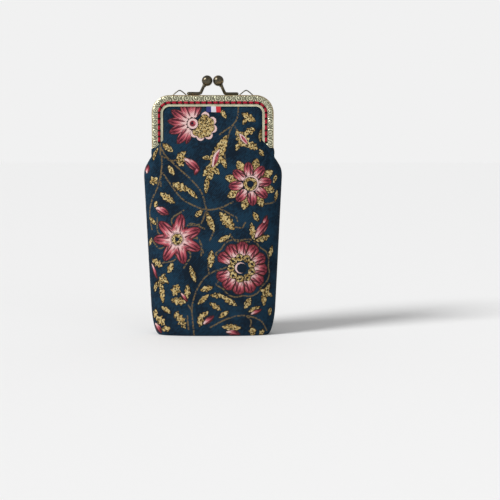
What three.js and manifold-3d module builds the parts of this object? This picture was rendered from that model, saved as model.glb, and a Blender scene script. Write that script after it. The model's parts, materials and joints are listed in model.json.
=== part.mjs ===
// Soft padded glasses case with a sewn kiss-lock frame, standing closed on its boxed base.
//
// Millimetres. X runs across the case, Y from the front (-Y) to the rear (+Y), and Z up.
// The origin is the middle of the flat base.
//
// The pouch is two outer panels, two padding panels and two lining panels, sewn together along the
// sides and the base. Its mouth is sewn into two identical pressed channels, which are riveted
// together at the feet of their legs and close with two balls that pass each other. Every cloth layer
// is parted just above the rivets, because the layers below stay with the pouch and the layers above
// turn with their channel.

import * as THREE from "three";
import { mergeVertices } from "three/addons/utils/BufferGeometryUtils.js";
import Module from "manifold-3d";

const wasm = await Module();
wasm.setup();

// ---------------------------------------------------------------------------------------------
// Driving dimensions
// ---------------------------------------------------------------------------------------------

// Pressed channel, one half of the frame
const frameWidth = 85; // across the outside of the legs
const frameHeight = 40; // hinge axis to the top of the frame
const frameCorner = 12.5; // outside radius of the two corners
const leafWidth = 8; // outer leaf, from the frame's edge to its lip
const innerLeafWidth = 7; // inner leaf, which the closed halves press together
const channelDepth = 5; // one channel, front to back
const sheet = 0.7; // thickness of the pressed metal
const crownHeight = 0.5; // rise of the embossed band over the leaf
const closingGap = 0.2; // from the closing plane to each half
const stitchInset = 5.3; // sewing groove, from the frame's edge
const grooveDepth = 0.25; // sewing groove under the leaf's face
const stitchPitch = 4.7; // wanted distance between sewing holes
const holeRadius = 0.8;
const threadRadius = 0.6;
const stitchDip = 0.25; // a stitch's two ends under its middle

// Hinge
const hingeHeight = 128; // base to the hinge axis
const lugRadius = 3;
const rivetRadius = 1;
const rivetHeadRadius = 2.1;
const rivetHeadThickness = 0.45;

// Kiss lock
const ballRadius = 3.75;
const ballGap = 0.3; // between the two balls
const ballRise = 10.1; // ball centre over the top of the frame
const stemRadius = 1;
const stemFoot = 18.4; // far end of the stem's foot, from the middle
const stemBend = 9.2; // near end of the foot, where the stem turns up
const stemSocket = 1.8; // how far the stem goes into its ball

// Wire loops for a chain, on the rear channel
const loopOffset = 23.3; // middle of a loop, from the middle of the frame
const loopWidth = 9;
const loopRise = 3.6;
const wireRadius = 0.4;

// Pouch, outside of the outer cloth
const shoulderOverhang = 5.7; // widest part of the pouch, past the frame on each side
const shoulderDrop = 17; // hinge axis down to the widest part
const neckOverhang = 0.4; // sides at the hinge, past the frame
const baseOverhang = 0.3; // sides at the base if its corners were square, past the frame
const bellyDepth = 33;
const bellyHeight = 50;
const baseDepth = 28;
const neckDepth = 18;
const cornerInset = 4.5; // round corner between side and base, seen from the front
const cornerRise = 20;
const edgeInset = 2.5; // round edge between panel and base, seen from the side
const edgeRise = 8;

// Cloth
const clothThickness = 0.8;
const paddingThickness = 2;
const liningThickness = 0.5;
const seamThickness = 0.8;
const seamAllowance = 2.2;
const labelWidth = 10;
const labelDrop = 3.4; // what shows of the ribbon label under the lip
const labelThickness = 0.6;
const labelOffset = 0.6; // middle of the label, from the middle of the frame

// Clearances
const clearance = 0.3; // between pieces that lie on each other
const foldDrop = 6; // hinge axis down to the top of the lower cloth, which the turning cloth dips into
const foldRise = 1.5; // hinge axis up to the foot of the upper cloth
const mouthInset = 3; // edge of the upper cloth, from the frame's edge

// ---------------------------------------------------------------------------------------------
// Sizes that follow from them
// ---------------------------------------------------------------------------------------------

const frameTop = hingeHeight + frameHeight;
const shoulderWidth = frameWidth + 2 * shoulderOverhang;
const shoulderHeight = hingeHeight - shoulderDrop;
const neckWidth = frameWidth + 2 * neckOverhang;
const baseWidth = frameWidth + 2 * baseOverhang;
const leafFace = closingGap + channelDepth; // face of the outer leaf, from the closing plane
const legFoot = hingeHeight + lugRadius + 0.4;
const pouchTop = hingeHeight - foldDrop;
const seamGap = seamThickness / 2 + clearance;
const channelRoom = channelDepth - 2 * sheet - 2 * clearance; // for the cloth layers
const squeezedPadding = channelRoom - clothThickness - liningThickness - 2 * clearance;

// Each cloth layer as how far its two faces lie inside the outside of the outer cloth: in the pouch's
// wall, and where the channel squeezes the layers together.
const layers = {
  outer: stack(0, clothThickness, clothThickness),
  padding: stack(clothThickness + clearance, paddingThickness, squeezedPadding),
  lining: {
    wall: pair(clothThickness + paddingThickness + 2 * clearance, liningThickness),
    channel: pair(clothThickness + squeezedPadding + 2 * clearance, liningThickness),
  },
};

function pair(start, thickness) {
  return [start, start + thickness];
}

function stack(start, wallThickness, channelThickness) {
  return { wall: pair(start, wallThickness), channel: pair(start, channelThickness) };
}

// ---------------------------------------------------------------------------------------------
// Solids
// ---------------------------------------------------------------------------------------------

// A closed geometry as a manifold-3d solid, with its shared vertices merged and its faces out.
function solidOf(geometry) {
  const loose = geometry.index ? geometry.toNonIndexed() : geometry;
  const bare = new THREE.BufferGeometry().setAttribute("position", loose.getAttribute("position"));
  const merged = mergeVertices(bare, 1e-4);
  const corners = [];
  for (let i = 0; i < merged.index.count; i += 3) {
    const [a, b, c] = merged.index.array.slice(i, i + 3);
    if (a !== b && b !== c && c !== a) corners.push(a, b, c);
  }
  const made = manifoldOf(merged.attributes.position.array, corners);
  if (made.volume() > 0) return made;
  for (let i = 0; i < corners.length; i += 3) {
    [corners[i], corners[i + 1]] = [corners[i + 1], corners[i]];
  }
  return manifoldOf(merged.attributes.position.array, corners);
}

function manifoldOf(vertProperties, corners) {
  const triVerts = new Uint32Array(corners);
  return new wasm.Manifold(new wasm.Mesh({ numProp: 3, vertProperties, triVerts }));
}

function geometryOf(solid) {
  const mesh = solid.getMesh();
  return new THREE.BufferGeometry()
    .setAttribute("position", new THREE.BufferAttribute(new Float32Array(mesh.vertProperties), 3))
    .setIndex(new THREE.BufferAttribute(new Uint32Array(mesh.triVerts), 1));
}

function geometryFrom(points, corners) {
  return new THREE.BufferGeometry().setFromPoints(points).setIndex(corners);
}

// A sheet of some thickness: face(row, column) and back(row, column) give its two sides.
function sheetSolid(rows, columns, face, back) {
  const points = [];
  for (const side of [face, back]) {
    for (let r = 0; r < rows; r++) {
      for (let c = 0; c < columns; c++) points.push(side(r, c));
    }
  }
  const at = (r, c, side) => side * rows * columns + r * columns + c;
  const corners = [];
  const quad = (a, b, c, d) => corners.push(a, b, c, a, c, d);
  for (let r = 0; r + 1 < rows; r++) {
    for (let c = 0; c + 1 < columns; c++) {
      quad(at(r, c, 0), at(r, c + 1, 0), at(r + 1, c + 1, 0), at(r + 1, c, 0));
      corners.push(at(r, c, 1), at(r + 1, c + 1, 1), at(r, c + 1, 1));
      corners.push(at(r, c, 1), at(r + 1, c, 1), at(r + 1, c + 1, 1));
    }
  }
  for (let c = 0; c + 1 < columns; c++) {
    quad(at(0, c, 0), at(0, c, 1), at(0, c + 1, 1), at(0, c + 1, 0));
    quad(at(rows - 1, c + 1, 0), at(rows - 1, c + 1, 1), at(rows - 1, c, 1), at(rows - 1, c, 0));
  }
  for (let r = 0; r + 1 < rows; r++) {
    quad(at(r + 1, 0, 0), at(r + 1, 0, 1), at(r, 0, 1), at(r, 0, 0));
    quad(at(r, columns - 1, 0), at(r, columns - 1, 1), at(r + 1, columns - 1, 1), at(r + 1, columns - 1, 0));
  }
  return solidOf(geometryFrom(points, corners));
}

// A bar through rings of points that all have the same count, with its two end rings filled.
function ringSolid(rings, flatEnd) {
  const count = rings[0].length;
  const corners = [];
  for (let i = 0; i + 1 < rings.length; i++) {
    for (let k = 0; k < count; k++) {
      const a = i * count + k;
      const b = i * count + ((k + 1) % count);
      corners.push(a, b, b + count, a, b + count, a + count);
    }
  }
  const last = (rings.length - 1) * count;
  const clockwise = THREE.ShapeUtils.isClockWise(flatEnd);
  for (const face of THREE.ShapeUtils.triangulateShape(flatEnd, [])) {
    const [a, b, c] = clockwise ? face.reverse() : face;
    corners.push(c, b, a, last + a, last + b, last + c);
  }
  return solidOf(geometryFrom(rings.flat(), corners));
}

// A round wire of some radius through points.
function wireThrough(points, radius, sides, steps) {
  const section = new THREE.Shape(
    Array.from({ length: sides }, (_, k) => {
      const turn = (2 * Math.PI * k) / sides;
      return new THREE.Vector2(radius * Math.cos(turn), radius * Math.sin(turn));
    }),
  );
  const extrudePath = new THREE.CatmullRomCurve3(points, false, "centripetal");
  return solidOf(new THREE.ExtrudeGeometry(section, { steps, extrudePath, bevelEnabled: false }));
}

// A flat outline in the XZ plane as a plate from one Y to another.
function plateAcross(outline, fromY, toY) {
  const shape = new THREE.Shape(outline.map(([x, z]) => new THREE.Vector2(x, z)));
  const plate = new THREE.ExtrudeGeometry(shape, { depth: toY - fromY, bevelEnabled: false });
  return solidOf(plate.rotateX(Math.PI / 2).translate(0, toY, 0));
}

function pinAlongY(radius, sides, x, z, fromY, toY) {
  const pin = new THREE.CylinderGeometry(radius, radius, toY - fromY, sides);
  return solidOf(pin.translate(x, (fromY + toY) / 2, z));
}

// ---------------------------------------------------------------------------------------------
// Pouch below the hinge
// ---------------------------------------------------------------------------------------------

// 0 up to start, 1 from end on, and smooth between; a power over 1 makes it leave start later.
function ease(value, start, end, power = 1) {
  const share = THREE.MathUtils.clamp((value - start) / (end - start), 0, 1) ** power;
  return share * share * (3 - 2 * share);
}

// How far a round edge of an elliptic section pulls in at a height over the base.
function roundEdge(z, inset, rise) {
  return z < rise ? inset * (1 - Math.sqrt(1 - ((rise - z) / rise) ** 2)) : 0;
}

function halfWidthAt(z) {
  const side = THREE.MathUtils.lerp(baseWidth, shoulderWidth, Math.min(z / shoulderHeight, 1)) / 2;
  const neck = ((shoulderWidth - neckWidth) / 2) * ease(z, shoulderHeight, hingeHeight - 2, 1.5);
  return side - neck - roundEdge(z, cornerInset, cornerRise);
}

function halfDepthAt(z) {
  const swell = ((bellyDepth - baseDepth) / 2) * ease(z, 0, bellyHeight);
  const neck = ((bellyDepth - neckDepth) / 2) * ease(z, bellyHeight, hingeHeight + 7, 1.6);
  return baseDepth / 2 + swell - neck - roundEdge(z, edgeInset, edgeRise);
}

// Exponent of the pouch's cross-section: 2 is an ellipse, and more is squarer.
function squarenessAt(z) {
  return 3 - 0.7 * ease(z, 0, bellyHeight);
}

// Point of the front wall. across goes from 0 at the -X seam to 1 at the +X seam.
function wallPoint(across, z, inset) {
  const turn = Math.PI * across;
  const power = 2 / squarenessAt(z);
  const sideways = Math.sign(Math.cos(turn)) * Math.abs(Math.cos(turn)) ** power;
  const forward = Math.abs(Math.sin(turn)) ** power;
  const x = -(halfWidthAt(z) - inset) * sideways;
  const y = -(seamGap + (halfDepthAt(z) - inset - seamGap) * forward);
  return new THREE.Vector3(x, y, z + inset * (1 - z / pouchTop));
}

// The base seam, which stops short of the sides as on a pouch with boxed corners.
function baseSeamPoint(across, inset) {
  const reach = halfWidthAt(0) - halfDepthAt(0);
  return new THREE.Vector3(-reach * Math.cos(Math.PI * across), -seamGap, inset);
}

const wallHeights = [
  ...[0, 0.06, 0.2, 0.45].map((share) => cornerRise * share),
  ...[0, 0.25, 0.5, 0.75].map((share) => THREE.MathUtils.lerp(cornerRise, shoulderHeight, share)),
  ...[0, 0.5, 1].map((share) => THREE.MathUtils.lerp(shoulderHeight, pouchTop, share)),
];
const wallColumns = 13;

// One layer of the front wall, from the base seam round the base edge and up to the fold.
function wallLayer([face, back]) {
  const side = (inset) => (row, column) => {
    const across = column / (wallColumns - 1);
    return row === 0 ? baseSeamPoint(across, inset) : wallPoint(across, wallHeights[row - 1], inset);
  };
  return sheetSolid(wallHeights.length + 1, wallColumns, side(face), side(back));
}

// The U-shaped seam that joins the front and rear of a layer: a thin strip on the closing plane.
function seamStrip(inset, allowance) {
  const heights = [...wallHeights].reverse();
  const left = heights.map((z) => [-(halfWidthAt(z) - inset), z + inset * (1 - z / pouchTop)]);
  const right = [...left].reverse().map(([x, z]) => [-x, z]);
  const line = [...left, ...right].map(([x, z]) => new THREE.Vector2(x, z));
  const half = seamThickness / 2;
  const rings = line.map((point, i) => {
    const along = line[Math.min(i + 1, line.length - 1)].clone().sub(line[Math.max(i - 1, 0)]);
    const inward = new THREE.Vector2(-along.y, along.x).normalize();
    const corner = (depth, y) =>
      new THREE.Vector3(point.x + inward.x * depth, y, point.y + inward.y * depth);
    return [
      corner(0, -half),
      corner(0, half),
      corner(allowance, half),
      corner(allowance, -half),
    ];
  });
  const end = [[0, 0], [0, 1], [1, 1], [1, 0]].map(([x, y]) => new THREE.Vector2(x, y));
  return ringSolid(rings, end);
}

// ---------------------------------------------------------------------------------------------
// Cloth above the hinge, held in the channel
// ---------------------------------------------------------------------------------------------

const mouthFoot = hingeHeight + foldRise;
const mouthCorner = frameCorner - mouthInset;
const mouthTop = frameTop - mouthInset;
const mouthStraight = mouthTop - mouthCorner; // height where the corners start
const mouthLip = frameTop - leafWidth; // height where the lip takes hold of the cloth
const lipTurn = Math.asin(THREE.MathUtils.clamp((mouthLip - mouthStraight) / mouthCorner, 0, 1));
const mouthHeights = [
  ...[0, 0.3, 0.6, 0.85, 1].map((share) => THREE.MathUtils.lerp(mouthFoot, mouthLip, share)),
  ...[0.4, 0.7, 1].map((share) => {
    return mouthStraight + mouthCorner * Math.sin(THREE.MathUtils.lerp(lipTurn, Math.PI / 2, share));
  }),
];
const mouthColumns = [-1, -0.78, -0.48, -0.16, 0.16, 0.48, 0.78, 1]; // between the two lips

function mouthHalfWidth(z) {
  const half = frameWidth / 2 - mouthInset;
  const rise = Math.max(z - mouthStraight, 0);
  return half - mouthCorner + Math.sqrt(Math.max(mouthCorner ** 2 - rise ** 2, 0));
}

// Where the columns cross a row: its two edges in the channel, and the columns between the lips.
function mouthCrossings(z) {
  const edge = mouthHalfWidth(z);
  const lip = edge - (leafWidth - mouthInset);
  return [-edge, ...mouthColumns.map((share) => lip * share), edge];
}

// 0 where the channel holds the cloth, and 1 in the middle of its foot, where it joins the pouch.
function mouthBulge(x, z) {
  const free = frameWidth / 2 - leafWidth;
  const rise = (z - mouthFoot) / (mouthLip - mouthFoot);
  const sideways = 1 - Math.min(Math.abs(x) / free, 1) ** 4;
  return sideways * (1 - THREE.MathUtils.clamp(rise, 0, 1) ** 2);
}

function mouthLayer({ wall, channel }) {
  const held = leafFace - sheet - clearance;
  const side = (k) => (row, column) => {
    const z = mouthHeights[row];
    const x = mouthCrossings(z)[column];
    const bulge = mouthBulge(x, z);
    const face = THREE.MathUtils.lerp(held, neckDepth / 2, bulge);
    const inset = THREE.MathUtils.lerp(channel[k], wall[k], bulge);
    return new THREE.Vector3(x, -(face - inset), z);
  };
  return sheetSolid(mouthHeights.length, mouthColumns.length + 2, side(0), side(1));
}

// ---------------------------------------------------------------------------------------------
// Channel
// ---------------------------------------------------------------------------------------------

// Stations of the frame's outside edge from the -X foot over the top to the +X foot: a point in the
// XZ plane and the direction inwards.
function frameStations(stepsPerCorner) {
  const half = frameWidth / 2;
  const station = (x, z, turn) => ({ x, z, inX: -Math.cos(turn), inZ: -Math.sin(turn) });
  const corner = (side) =>
    Array.from({ length: stepsPerCorner + 1 }, (_, k) => {
      const turn = Math.PI / 2 + side * (Math.PI / 2) * (1 - k / stepsPerCorner);
      const middle = -side * (half - frameCorner);
      const x = middle + frameCorner * Math.cos(turn);
      return station(x, frameTop - frameCorner + frameCorner * Math.sin(turn), turn);
    });
  const left = corner(1);
  const right = corner(-1).reverse();
  return [station(-half, legFoot, Math.PI), ...left, ...right, station(half, legFoot, 0)];
}

// Point on the sewing line, a given way along it from its -X end, with the direction inwards.
const stitchFoot = legFoot + leafWidth - stitchInset + 2.4;

function sewingLine() {
  const radius = frameCorner - stitchInset;
  const leg = frameTop - frameCorner - stitchFoot;
  const arc = (Math.PI / 2) * radius;
  const span = frameWidth - 2 * frameCorner;
  const half = frameWidth / 2 - stitchInset;
  const length = 2 * leg + 2 * arc + span;
  const pointAt = (way) => {
    const near = Math.min(way, length - way);
    const side = way <= length / 2 ? -1 : 1;
    if (near <= leg) return new THREE.Vector3(side * half, 0, stitchFoot + near);
    const turn = Math.min((near - leg) / radius, Math.PI / 2);
    const flat = Math.max(near - leg - arc, 0);
    const x = half - radius + radius * Math.cos(turn) - flat;
    return new THREE.Vector3(side * x, 0, frameTop - frameCorner + radius * Math.sin(turn));
  };
  return { length, pointAt };
}

function sewingHoles() {
  const line = sewingLine();
  const gaps = Math.round(line.length / stitchPitch);
  return Array.from({ length: gaps + 1 }, (_, k) => line.pointAt((line.length * k) / gaps));
}

// Section of the channel: how far in from the edge, and how far in front of the closing plane.
function channelSection() {
  const behind = leafFace - sheet;
  const band = stitchInset - 1.1;
  return [
    [0, closingGap],
    [0, leafFace - 0.8],
    [0.8, leafFace + 0.2 * crownHeight],
    [band * 0.57, leafFace + crownHeight],
    [band, leafFace + 0.2 * crownHeight],
    [stitchInset, leafFace - grooveDepth],
    [stitchInset + 1, leafFace],
    [leafWidth, leafFace],
    [leafWidth, behind],
    [sheet, behind],
    [sheet, closingGap + sheet],
    [innerLeafWidth, closingGap + sheet],
    [innerLeafWidth, closingGap],
  ];
}

// A lug in the YZ plane at the foot of a leg, from one X to another, drilled for the rivet.
function lug(fromX, toX) {
  const near = closingGap + 0.4;
  const far = closingGap + channelDepth - 0.6;
  const top = legFoot - hingeHeight + 1;
  const start = Math.PI - Math.acos(near / lugRadius);
  const outline = new THREE.Shape();
  outline.moveTo(-near, top);
  outline.absarc(0, 0, lugRadius, start, (-160 * Math.PI) / 180, true);
  outline.lineTo(-far, legFoot - hingeHeight);
  outline.lineTo(-far, top);
  outline.holes.push(new THREE.Path().absarc(0, 0, rivetRadius + clearance, 0, 2 * Math.PI));
  const plate = new THREE.ExtrudeGeometry(outline, {
    depth: toX - fromX,
    bevelEnabled: false,
    curveSegments: 10,
  });
  plate.rotateX(Math.PI / 2).rotateZ(Math.PI / 2);
  return solidOf(plate.translate(fromX, 0, hingeHeight));
}

// Block that carries the inner lug on the foot of its leg, past the other half's outer lug.
function joggle(fromX, toX) {
  const near = closingGap + 0.4;
  const far = closingGap + channelDepth - 0.6;
  const block = new THREE.BoxGeometry(toX - fromX, far - near, 2);
  return solidOf(block.translate((fromX + toX) / 2, -(near + far) / 2, legFoot + 1));
}

// Cuts both leaves off at 45 degrees at the foot of each leg, where the cloth comes out.
function footCuts() {
  const inside = frameWidth / 2 - sheet;
  const wedge = (side) =>
    plateAcross(
      [
        [side * inside, legFoot - 0.7],
        [side * (inside - 2 * leafWidth), legFoot - 0.7],
        [side * (inside - 2 * leafWidth), legFoot - 0.7 + 2 * leafWidth],
      ],
      -(leafFace + 2),
      0,
    );
  return [wedge(-1), wedge(1)];
}

function channel(extraHoles) {
  const section = channelSection();
  const rings = frameStations(5).map(({ x, z, inX, inZ }) =>
    section.map(([inset, depth]) => new THREE.Vector3(x + inX * inset, -depth, z + inZ * inset)),
  );
  let body = ringSolid(rings, section.map(([inset, depth]) => new THREE.Vector2(inset, depth)));
  for (const cut of footCuts()) body = body.subtract(cut);
  const outside = frameWidth / 2;
  const innerLug = outside - 2 * sheet - clearance;
  body = body.add(lug(-outside, -outside + sheet));
  body = body.add(lug(innerLug, innerLug + sheet)).add(joggle(innerLug, outside));
  for (const hole of sewingHoles()) {
    body = body.subtract(pinAlongY(holeRadius, 6, hole.x, hole.z, -(leafFace + 2), 0));
  }
  for (const hole of extraHoles) body = body.subtract(hole);
  return body;
}

// ---------------------------------------------------------------------------------------------
// Thread, stems, balls, loops, rivets and label
// ---------------------------------------------------------------------------------------------

// The thread's outside run: one stitch from hole to hole, with a peg down into every hole.
function stitching() {
  const line = sewingLine();
  const gaps = sewingHoles().length - 1;
  const over = leafFace - grooveDepth + clearance + threadRadius;
  const points = Array.from({ length: 2 * gaps + 1 }, (_, k) => {
    const point = line.pointAt((line.length * k) / (2 * gaps));
    return point.setY(-(over - (k % 2 ? 0 : stitchDip)));
  });
  let thread = wireThrough(points, threadRadius, 5, 2 * gaps);
  const pegRadius = holeRadius - clearance;
  const pegEnd = leafFace - sheet + 0.1;
  for (const hole of sewingHoles()) {
    thread = thread.add(pinAlongY(pegRadius, 5, hole.x, hole.z, -over, -pegEnd));
  }
  return thread;
}

const ballCentre = new THREE.Vector3(-(ballRadius + ballGap / 2), 0, frameTop + ballRise);
const stemHeight = frameTop + clearance + stemRadius; // centre of the foot, brazed to the frame's top

// Points of a clasp stem: a flat foot along the top of the channel, then up and in to the ball.
function stemPoints() {
  const y = -(closingGap + channelDepth / 2);
  const neck = ballCentre.clone().add(new THREE.Vector3(-2.6, -0.7, -4.4));
  const lean = new THREE.Vector3(-(stemBend - 1.2), y * 0.85, stemHeight + 1.6);
  const flat = [stemFoot, (stemFoot + stemBend) / 2, stemBend].map(
    (x) => new THREE.Vector3(-x, y, stemHeight),
  );
  return [...flat, lean, neck];
}

function stem() {
  return wireThrough([...stemPoints(), intoBall(stemSocket)], stemRadius, 8, 18);
}

// Point of the stem's axis some way past the face of the ball.
function intoBall(depth) {
  const neck = stemPoints().at(-1);
  const away = neck.clone().sub(ballCentre);
  return ballCentre.clone().add(away.setLength(ballRadius - depth));
}

// The ball, with a blind socket where the stem is brazed in.
function ball() {
  const round = new THREE.SphereGeometry(ballRadius, 16, 12).rotateX(Math.PI / 2);
  const whole = solidOf(round.translate(ballCentre.x, ballCentre.y, ballCentre.z));
  const socket = [intoBall(-2), intoBall(0), intoBall(stemSocket + clearance)];
  return whole.subtract(wireThrough(socket, stemRadius + clearance, 10, 4));
}

// A gable of wire whose two feet pass through the top of the channel.
function loopWire(side) {
  const y = -(closingGap + channelDepth / 2);
  const foot = frameTop - mouthInset + 0.9;
  const outline = [
    [-loopWidth / 2, foot],
    [-loopWidth / 2, frameTop + 0.3],
    [-loopWidth * 0.22, frameTop + loopRise * 0.72],
    [0, frameTop + loopRise],
    [loopWidth * 0.22, frameTop + loopRise * 0.72],
    [loopWidth / 2, frameTop + 0.3],
    [loopWidth / 2, foot],
  ].map(([x, z]) => new THREE.Vector3(side * loopOffset + x, y, z));
  return wireThrough(outline, wireRadius, 6, 20);
}

function loopHoles() {
  const y = -(closingGap + channelDepth / 2);
  return [-1, 1].flatMap((side) =>
    [-1, 1].map((end) => {
      const pin = new THREE.CylinderGeometry(wireRadius + clearance, wireRadius + clearance, 4, 8);
      const x = side * loopOffset + (end * loopWidth) / 2;
      return solidOf(pin.rotateX(Math.PI / 2).translate(x, y, frameTop));
    }),
  );
}

// Rivet along X at the foot of a leg, with a flat head outside and one inside both lugs.
function rivet() {
  const outside = frameWidth / 2;
  const outer = outside + clearance;
  const inner = outside - 2 * sheet - 2 * clearance;
  const profile = [
    [0, inner - rivetHeadThickness],
    [rivetHeadRadius * 0.8, inner - rivetHeadThickness],
    [rivetHeadRadius, inner - 0.5 * rivetHeadThickness],
    [rivetHeadRadius, inner],
    [rivetRadius, inner],
    [rivetRadius, outer],
    [rivetHeadRadius, outer],
    [rivetHeadRadius, outer + 0.5 * rivetHeadThickness],
    [rivetHeadRadius * 0.8, outer + rivetHeadThickness],
    [0, outer + rivetHeadThickness],
  ].map(([radius, x]) => new THREE.Vector2(radius, x));
  return solidOf(new THREE.LatheGeometry(profile, 14).rotateZ(-Math.PI / 2));
}

// Folded ribbon under the front lip.
function label() {
  const top = mouthLip - clearance;
  const front = leafFace - sheet - clearance;
  const bow = THREE.MathUtils.lerp(front, neckDepth / 2, mouthBulge(0, top - labelDrop));
  const side = (depth) => (row, column) =>
    new THREE.Vector3(
      labelOffset + (column - 0.5) * labelWidth,
      -(THREE.MathUtils.lerp(front, bow, 1 - row) + clearance + depth),
      top - (1 - row) * labelDrop,
    );
  return sheetSolid(2, 2, side(labelThickness), side(0));
}

// ---------------------------------------------------------------------------------------------
// Assembly
// ---------------------------------------------------------------------------------------------

const finishes = {
  embossedBronze: material(0xb0a888, 0.38, 0.9),
  darkBronze: material(0x6b5d48, 0.3, 0.95),
  wire: material(0x8f8b80, 0.3, 0.95),
  outerCloth: material(0x1c2a3a, 0.9, 0),
  padding: material(0xd8d3c6, 1, 0),
  lining: material(0x191a20, 0.9, 0),
  redThread: material(0x9c1f3a, 0.7, 0),
  ribbon: material(0xd8d8dc, 0.7, 0),
};

function material(color, roughness, metalness) {
  return new THREE.MeshStandardMaterial({ color, roughness, metalness });
}

function piece(name, solid, finish) {
  const mesh = new THREE.Mesh(geometryOf(solid), finish);
  mesh.name = name;
  return mesh;
}

// The pouch's three layers on one side. They are modelled at the front; the rear is turned round.
function pouchSide(end) {
  const side = new THREE.Group();
  side.add(
    piece(end + "_outer_panel", wallLayer(layers.outer.wall), finishes.outerCloth),
    piece(end + "_padding", wallLayer(layers.padding.wall), finishes.padding),
    piece(end + "_lining", wallLayer(layers.lining.wall), finishes.lining),
  );
  return side;
}

// One frame half with the cloth sewn into it. Both halves are the same part turned round.
function frameHalf(end, extraHoles) {
  const half = new THREE.Group();
  half.add(
    piece(end + "_frame", channel(extraHoles), finishes.embossedBronze),
    piece(end + "_clasp_stem", stem(), finishes.darkBronze),
    piece(end + "_clasp_ball", ball(), finishes.darkBronze),
    piece(end + "_frame_stitching", stitching(), finishes.redThread),
    piece(end + "_mouth_panel", mouthLayer(layers.outer), finishes.outerCloth),
    piece(end + "_mouth_padding", mouthLayer(layers.padding), finishes.padding),
    piece(end + "_mouth_lining", mouthLayer(layers.lining), finishes.lining),
  );
  return half;
}

const seams = new THREE.Group();
const liningStart = layers.lining.wall[0];
seams.add(
  piece("outer_seam", seamStrip(0.15, seamAllowance), finishes.outerCloth),
  piece("lining_seam", seamStrip(liningStart, liningThickness + 0.6), finishes.lining),
);

const frontHalf = frameHalf("front", []);
frontHalf.add(piece("ribbon_label", label(), finishes.ribbon));

const rearHalf = frameHalf("rear", loopHoles());
rearHalf.add(
  piece("right_chain_loop", loopWire(-1), finishes.wire),
  piece("left_chain_loop", loopWire(1), finishes.wire),
);
rearHalf.rotation.z = Math.PI;

const rearSide = pouchSide("rear");
rearSide.rotation.z = Math.PI;

const rivets = new THREE.Group();
const leftRivet = piece("left_hinge_rivet", rivet(), finishes.darkBronze);
const rightRivet = piece("right_hinge_rivet", rivet(), finishes.darkBronze);
leftRivet.rotation.z = Math.PI;
for (const pin of [leftRivet, rightRivet]) pin.position.z = hingeHeight;
rivets.add(leftRivet, rightRivet);

const glassesCase = new THREE.Group();
glassesCase.add(pouchSide("front"), rearSide, seams, frontHalf, rearHalf, rivets);

export default glassesCase;
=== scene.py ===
"""Soft glasses case with a sewn kiss-lock frame: the visible model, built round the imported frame."""

import json
import math

import bpy
import numpy as np
from bpy.props import FloatProperty, FloatVectorProperty, PointerProperty
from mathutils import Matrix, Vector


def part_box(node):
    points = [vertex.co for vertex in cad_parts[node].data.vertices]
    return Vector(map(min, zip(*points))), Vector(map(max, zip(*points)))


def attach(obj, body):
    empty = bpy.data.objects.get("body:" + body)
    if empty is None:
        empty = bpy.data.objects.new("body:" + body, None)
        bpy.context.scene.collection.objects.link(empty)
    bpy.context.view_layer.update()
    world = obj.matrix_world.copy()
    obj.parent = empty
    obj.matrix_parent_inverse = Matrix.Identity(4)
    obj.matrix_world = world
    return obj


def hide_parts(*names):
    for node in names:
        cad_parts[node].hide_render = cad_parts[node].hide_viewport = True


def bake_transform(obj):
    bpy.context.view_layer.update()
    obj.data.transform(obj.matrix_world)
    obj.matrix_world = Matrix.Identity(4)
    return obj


bl_info = {
    "name": "Soft Glasses Case",
    "version": (1, 0, 0),
    "blender": (4, 5, 0),
    "location": "3D View > Sidebar > Glasses Case",
    "description": "Builds a padded glasses case of printed cloth with a kiss-lock frame",
    "category": "Object",
}

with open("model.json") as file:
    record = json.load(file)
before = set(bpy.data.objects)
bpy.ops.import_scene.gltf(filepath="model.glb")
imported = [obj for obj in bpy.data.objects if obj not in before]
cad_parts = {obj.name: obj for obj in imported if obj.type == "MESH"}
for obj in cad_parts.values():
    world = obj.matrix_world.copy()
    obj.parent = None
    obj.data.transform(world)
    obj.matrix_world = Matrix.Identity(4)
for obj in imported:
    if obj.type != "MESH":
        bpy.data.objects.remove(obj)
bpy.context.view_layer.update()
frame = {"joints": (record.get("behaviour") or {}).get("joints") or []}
MM = 0.001

# ------------------------------------------------------------------------------------------------
# Sizes in millimetres, worked out from the frame where it gives them
# ------------------------------------------------------------------------------------------------


def box_mm(node):
    """Lowest and highest corner of a CAD node, in millimetres."""
    low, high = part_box(node)
    return np.array(low) / MM, np.array(high) / MM


FRAME_HIGH = box_mm("front_frame")[1]
PANEL_LOW, PANEL_HIGH = box_mm("front_outer_panel")
BALL_LOW, BALL_HIGH = box_mm("front_clasp_ball")
LABEL_LOW, LABEL_HIGH = box_mm("ribbon_label")

HINGE = frame["joints"][0]["pos_m"][2] / MM
FRAME_HALF = FRAME_HIGH[0]
FRAME_TOP = FRAME_HIGH[2]
FRAME_CORNER = 12.5
LEAF = 8.0
SHEET = 0.7
FOOT_FLAT = 2.7  # level part of a leg's end, before it slopes up to the inside
CLOSING_GAP = 0.2
LEAF_FACE = 5.2
LEG_FOOT = HINGE + 3.4
STITCH_INSET = 5.3
STITCHES = 30
HELD = LEAF_FACE - SHEET - 0.3  # face of the cloth inside the channel
LIP_HALF = FRAME_HALF - LEAF
LIP_TOP = FRAME_TOP - LEAF
MOUTH_HALF = FRAME_HALF - 3.0
MOUTH_TOP = FRAME_TOP - 3.0
SHOULDER_HALF = PANEL_HIGH[0]
SHOULDER = HINGE - 17.0
BASE_HALF = FRAME_HALF + 0.3
NECK_HALF = FRAME_HALF + 0.4
BELLY = -PANEL_LOW[1]
BELLY_HEIGHT = 50.0
BASE_DEPTH = 14.0
NECK_DEPTH = 9.0
SEAM = 0.7
BASE_WAY = 13.0  # sets the number of rows under the base
EDGE_WAY = 12.0  # sets the number of rows round the front's lower edge
BASE_EDGE = (2.5, 8.0)  # how far the front's lower edge pulls in, and over what height
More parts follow.
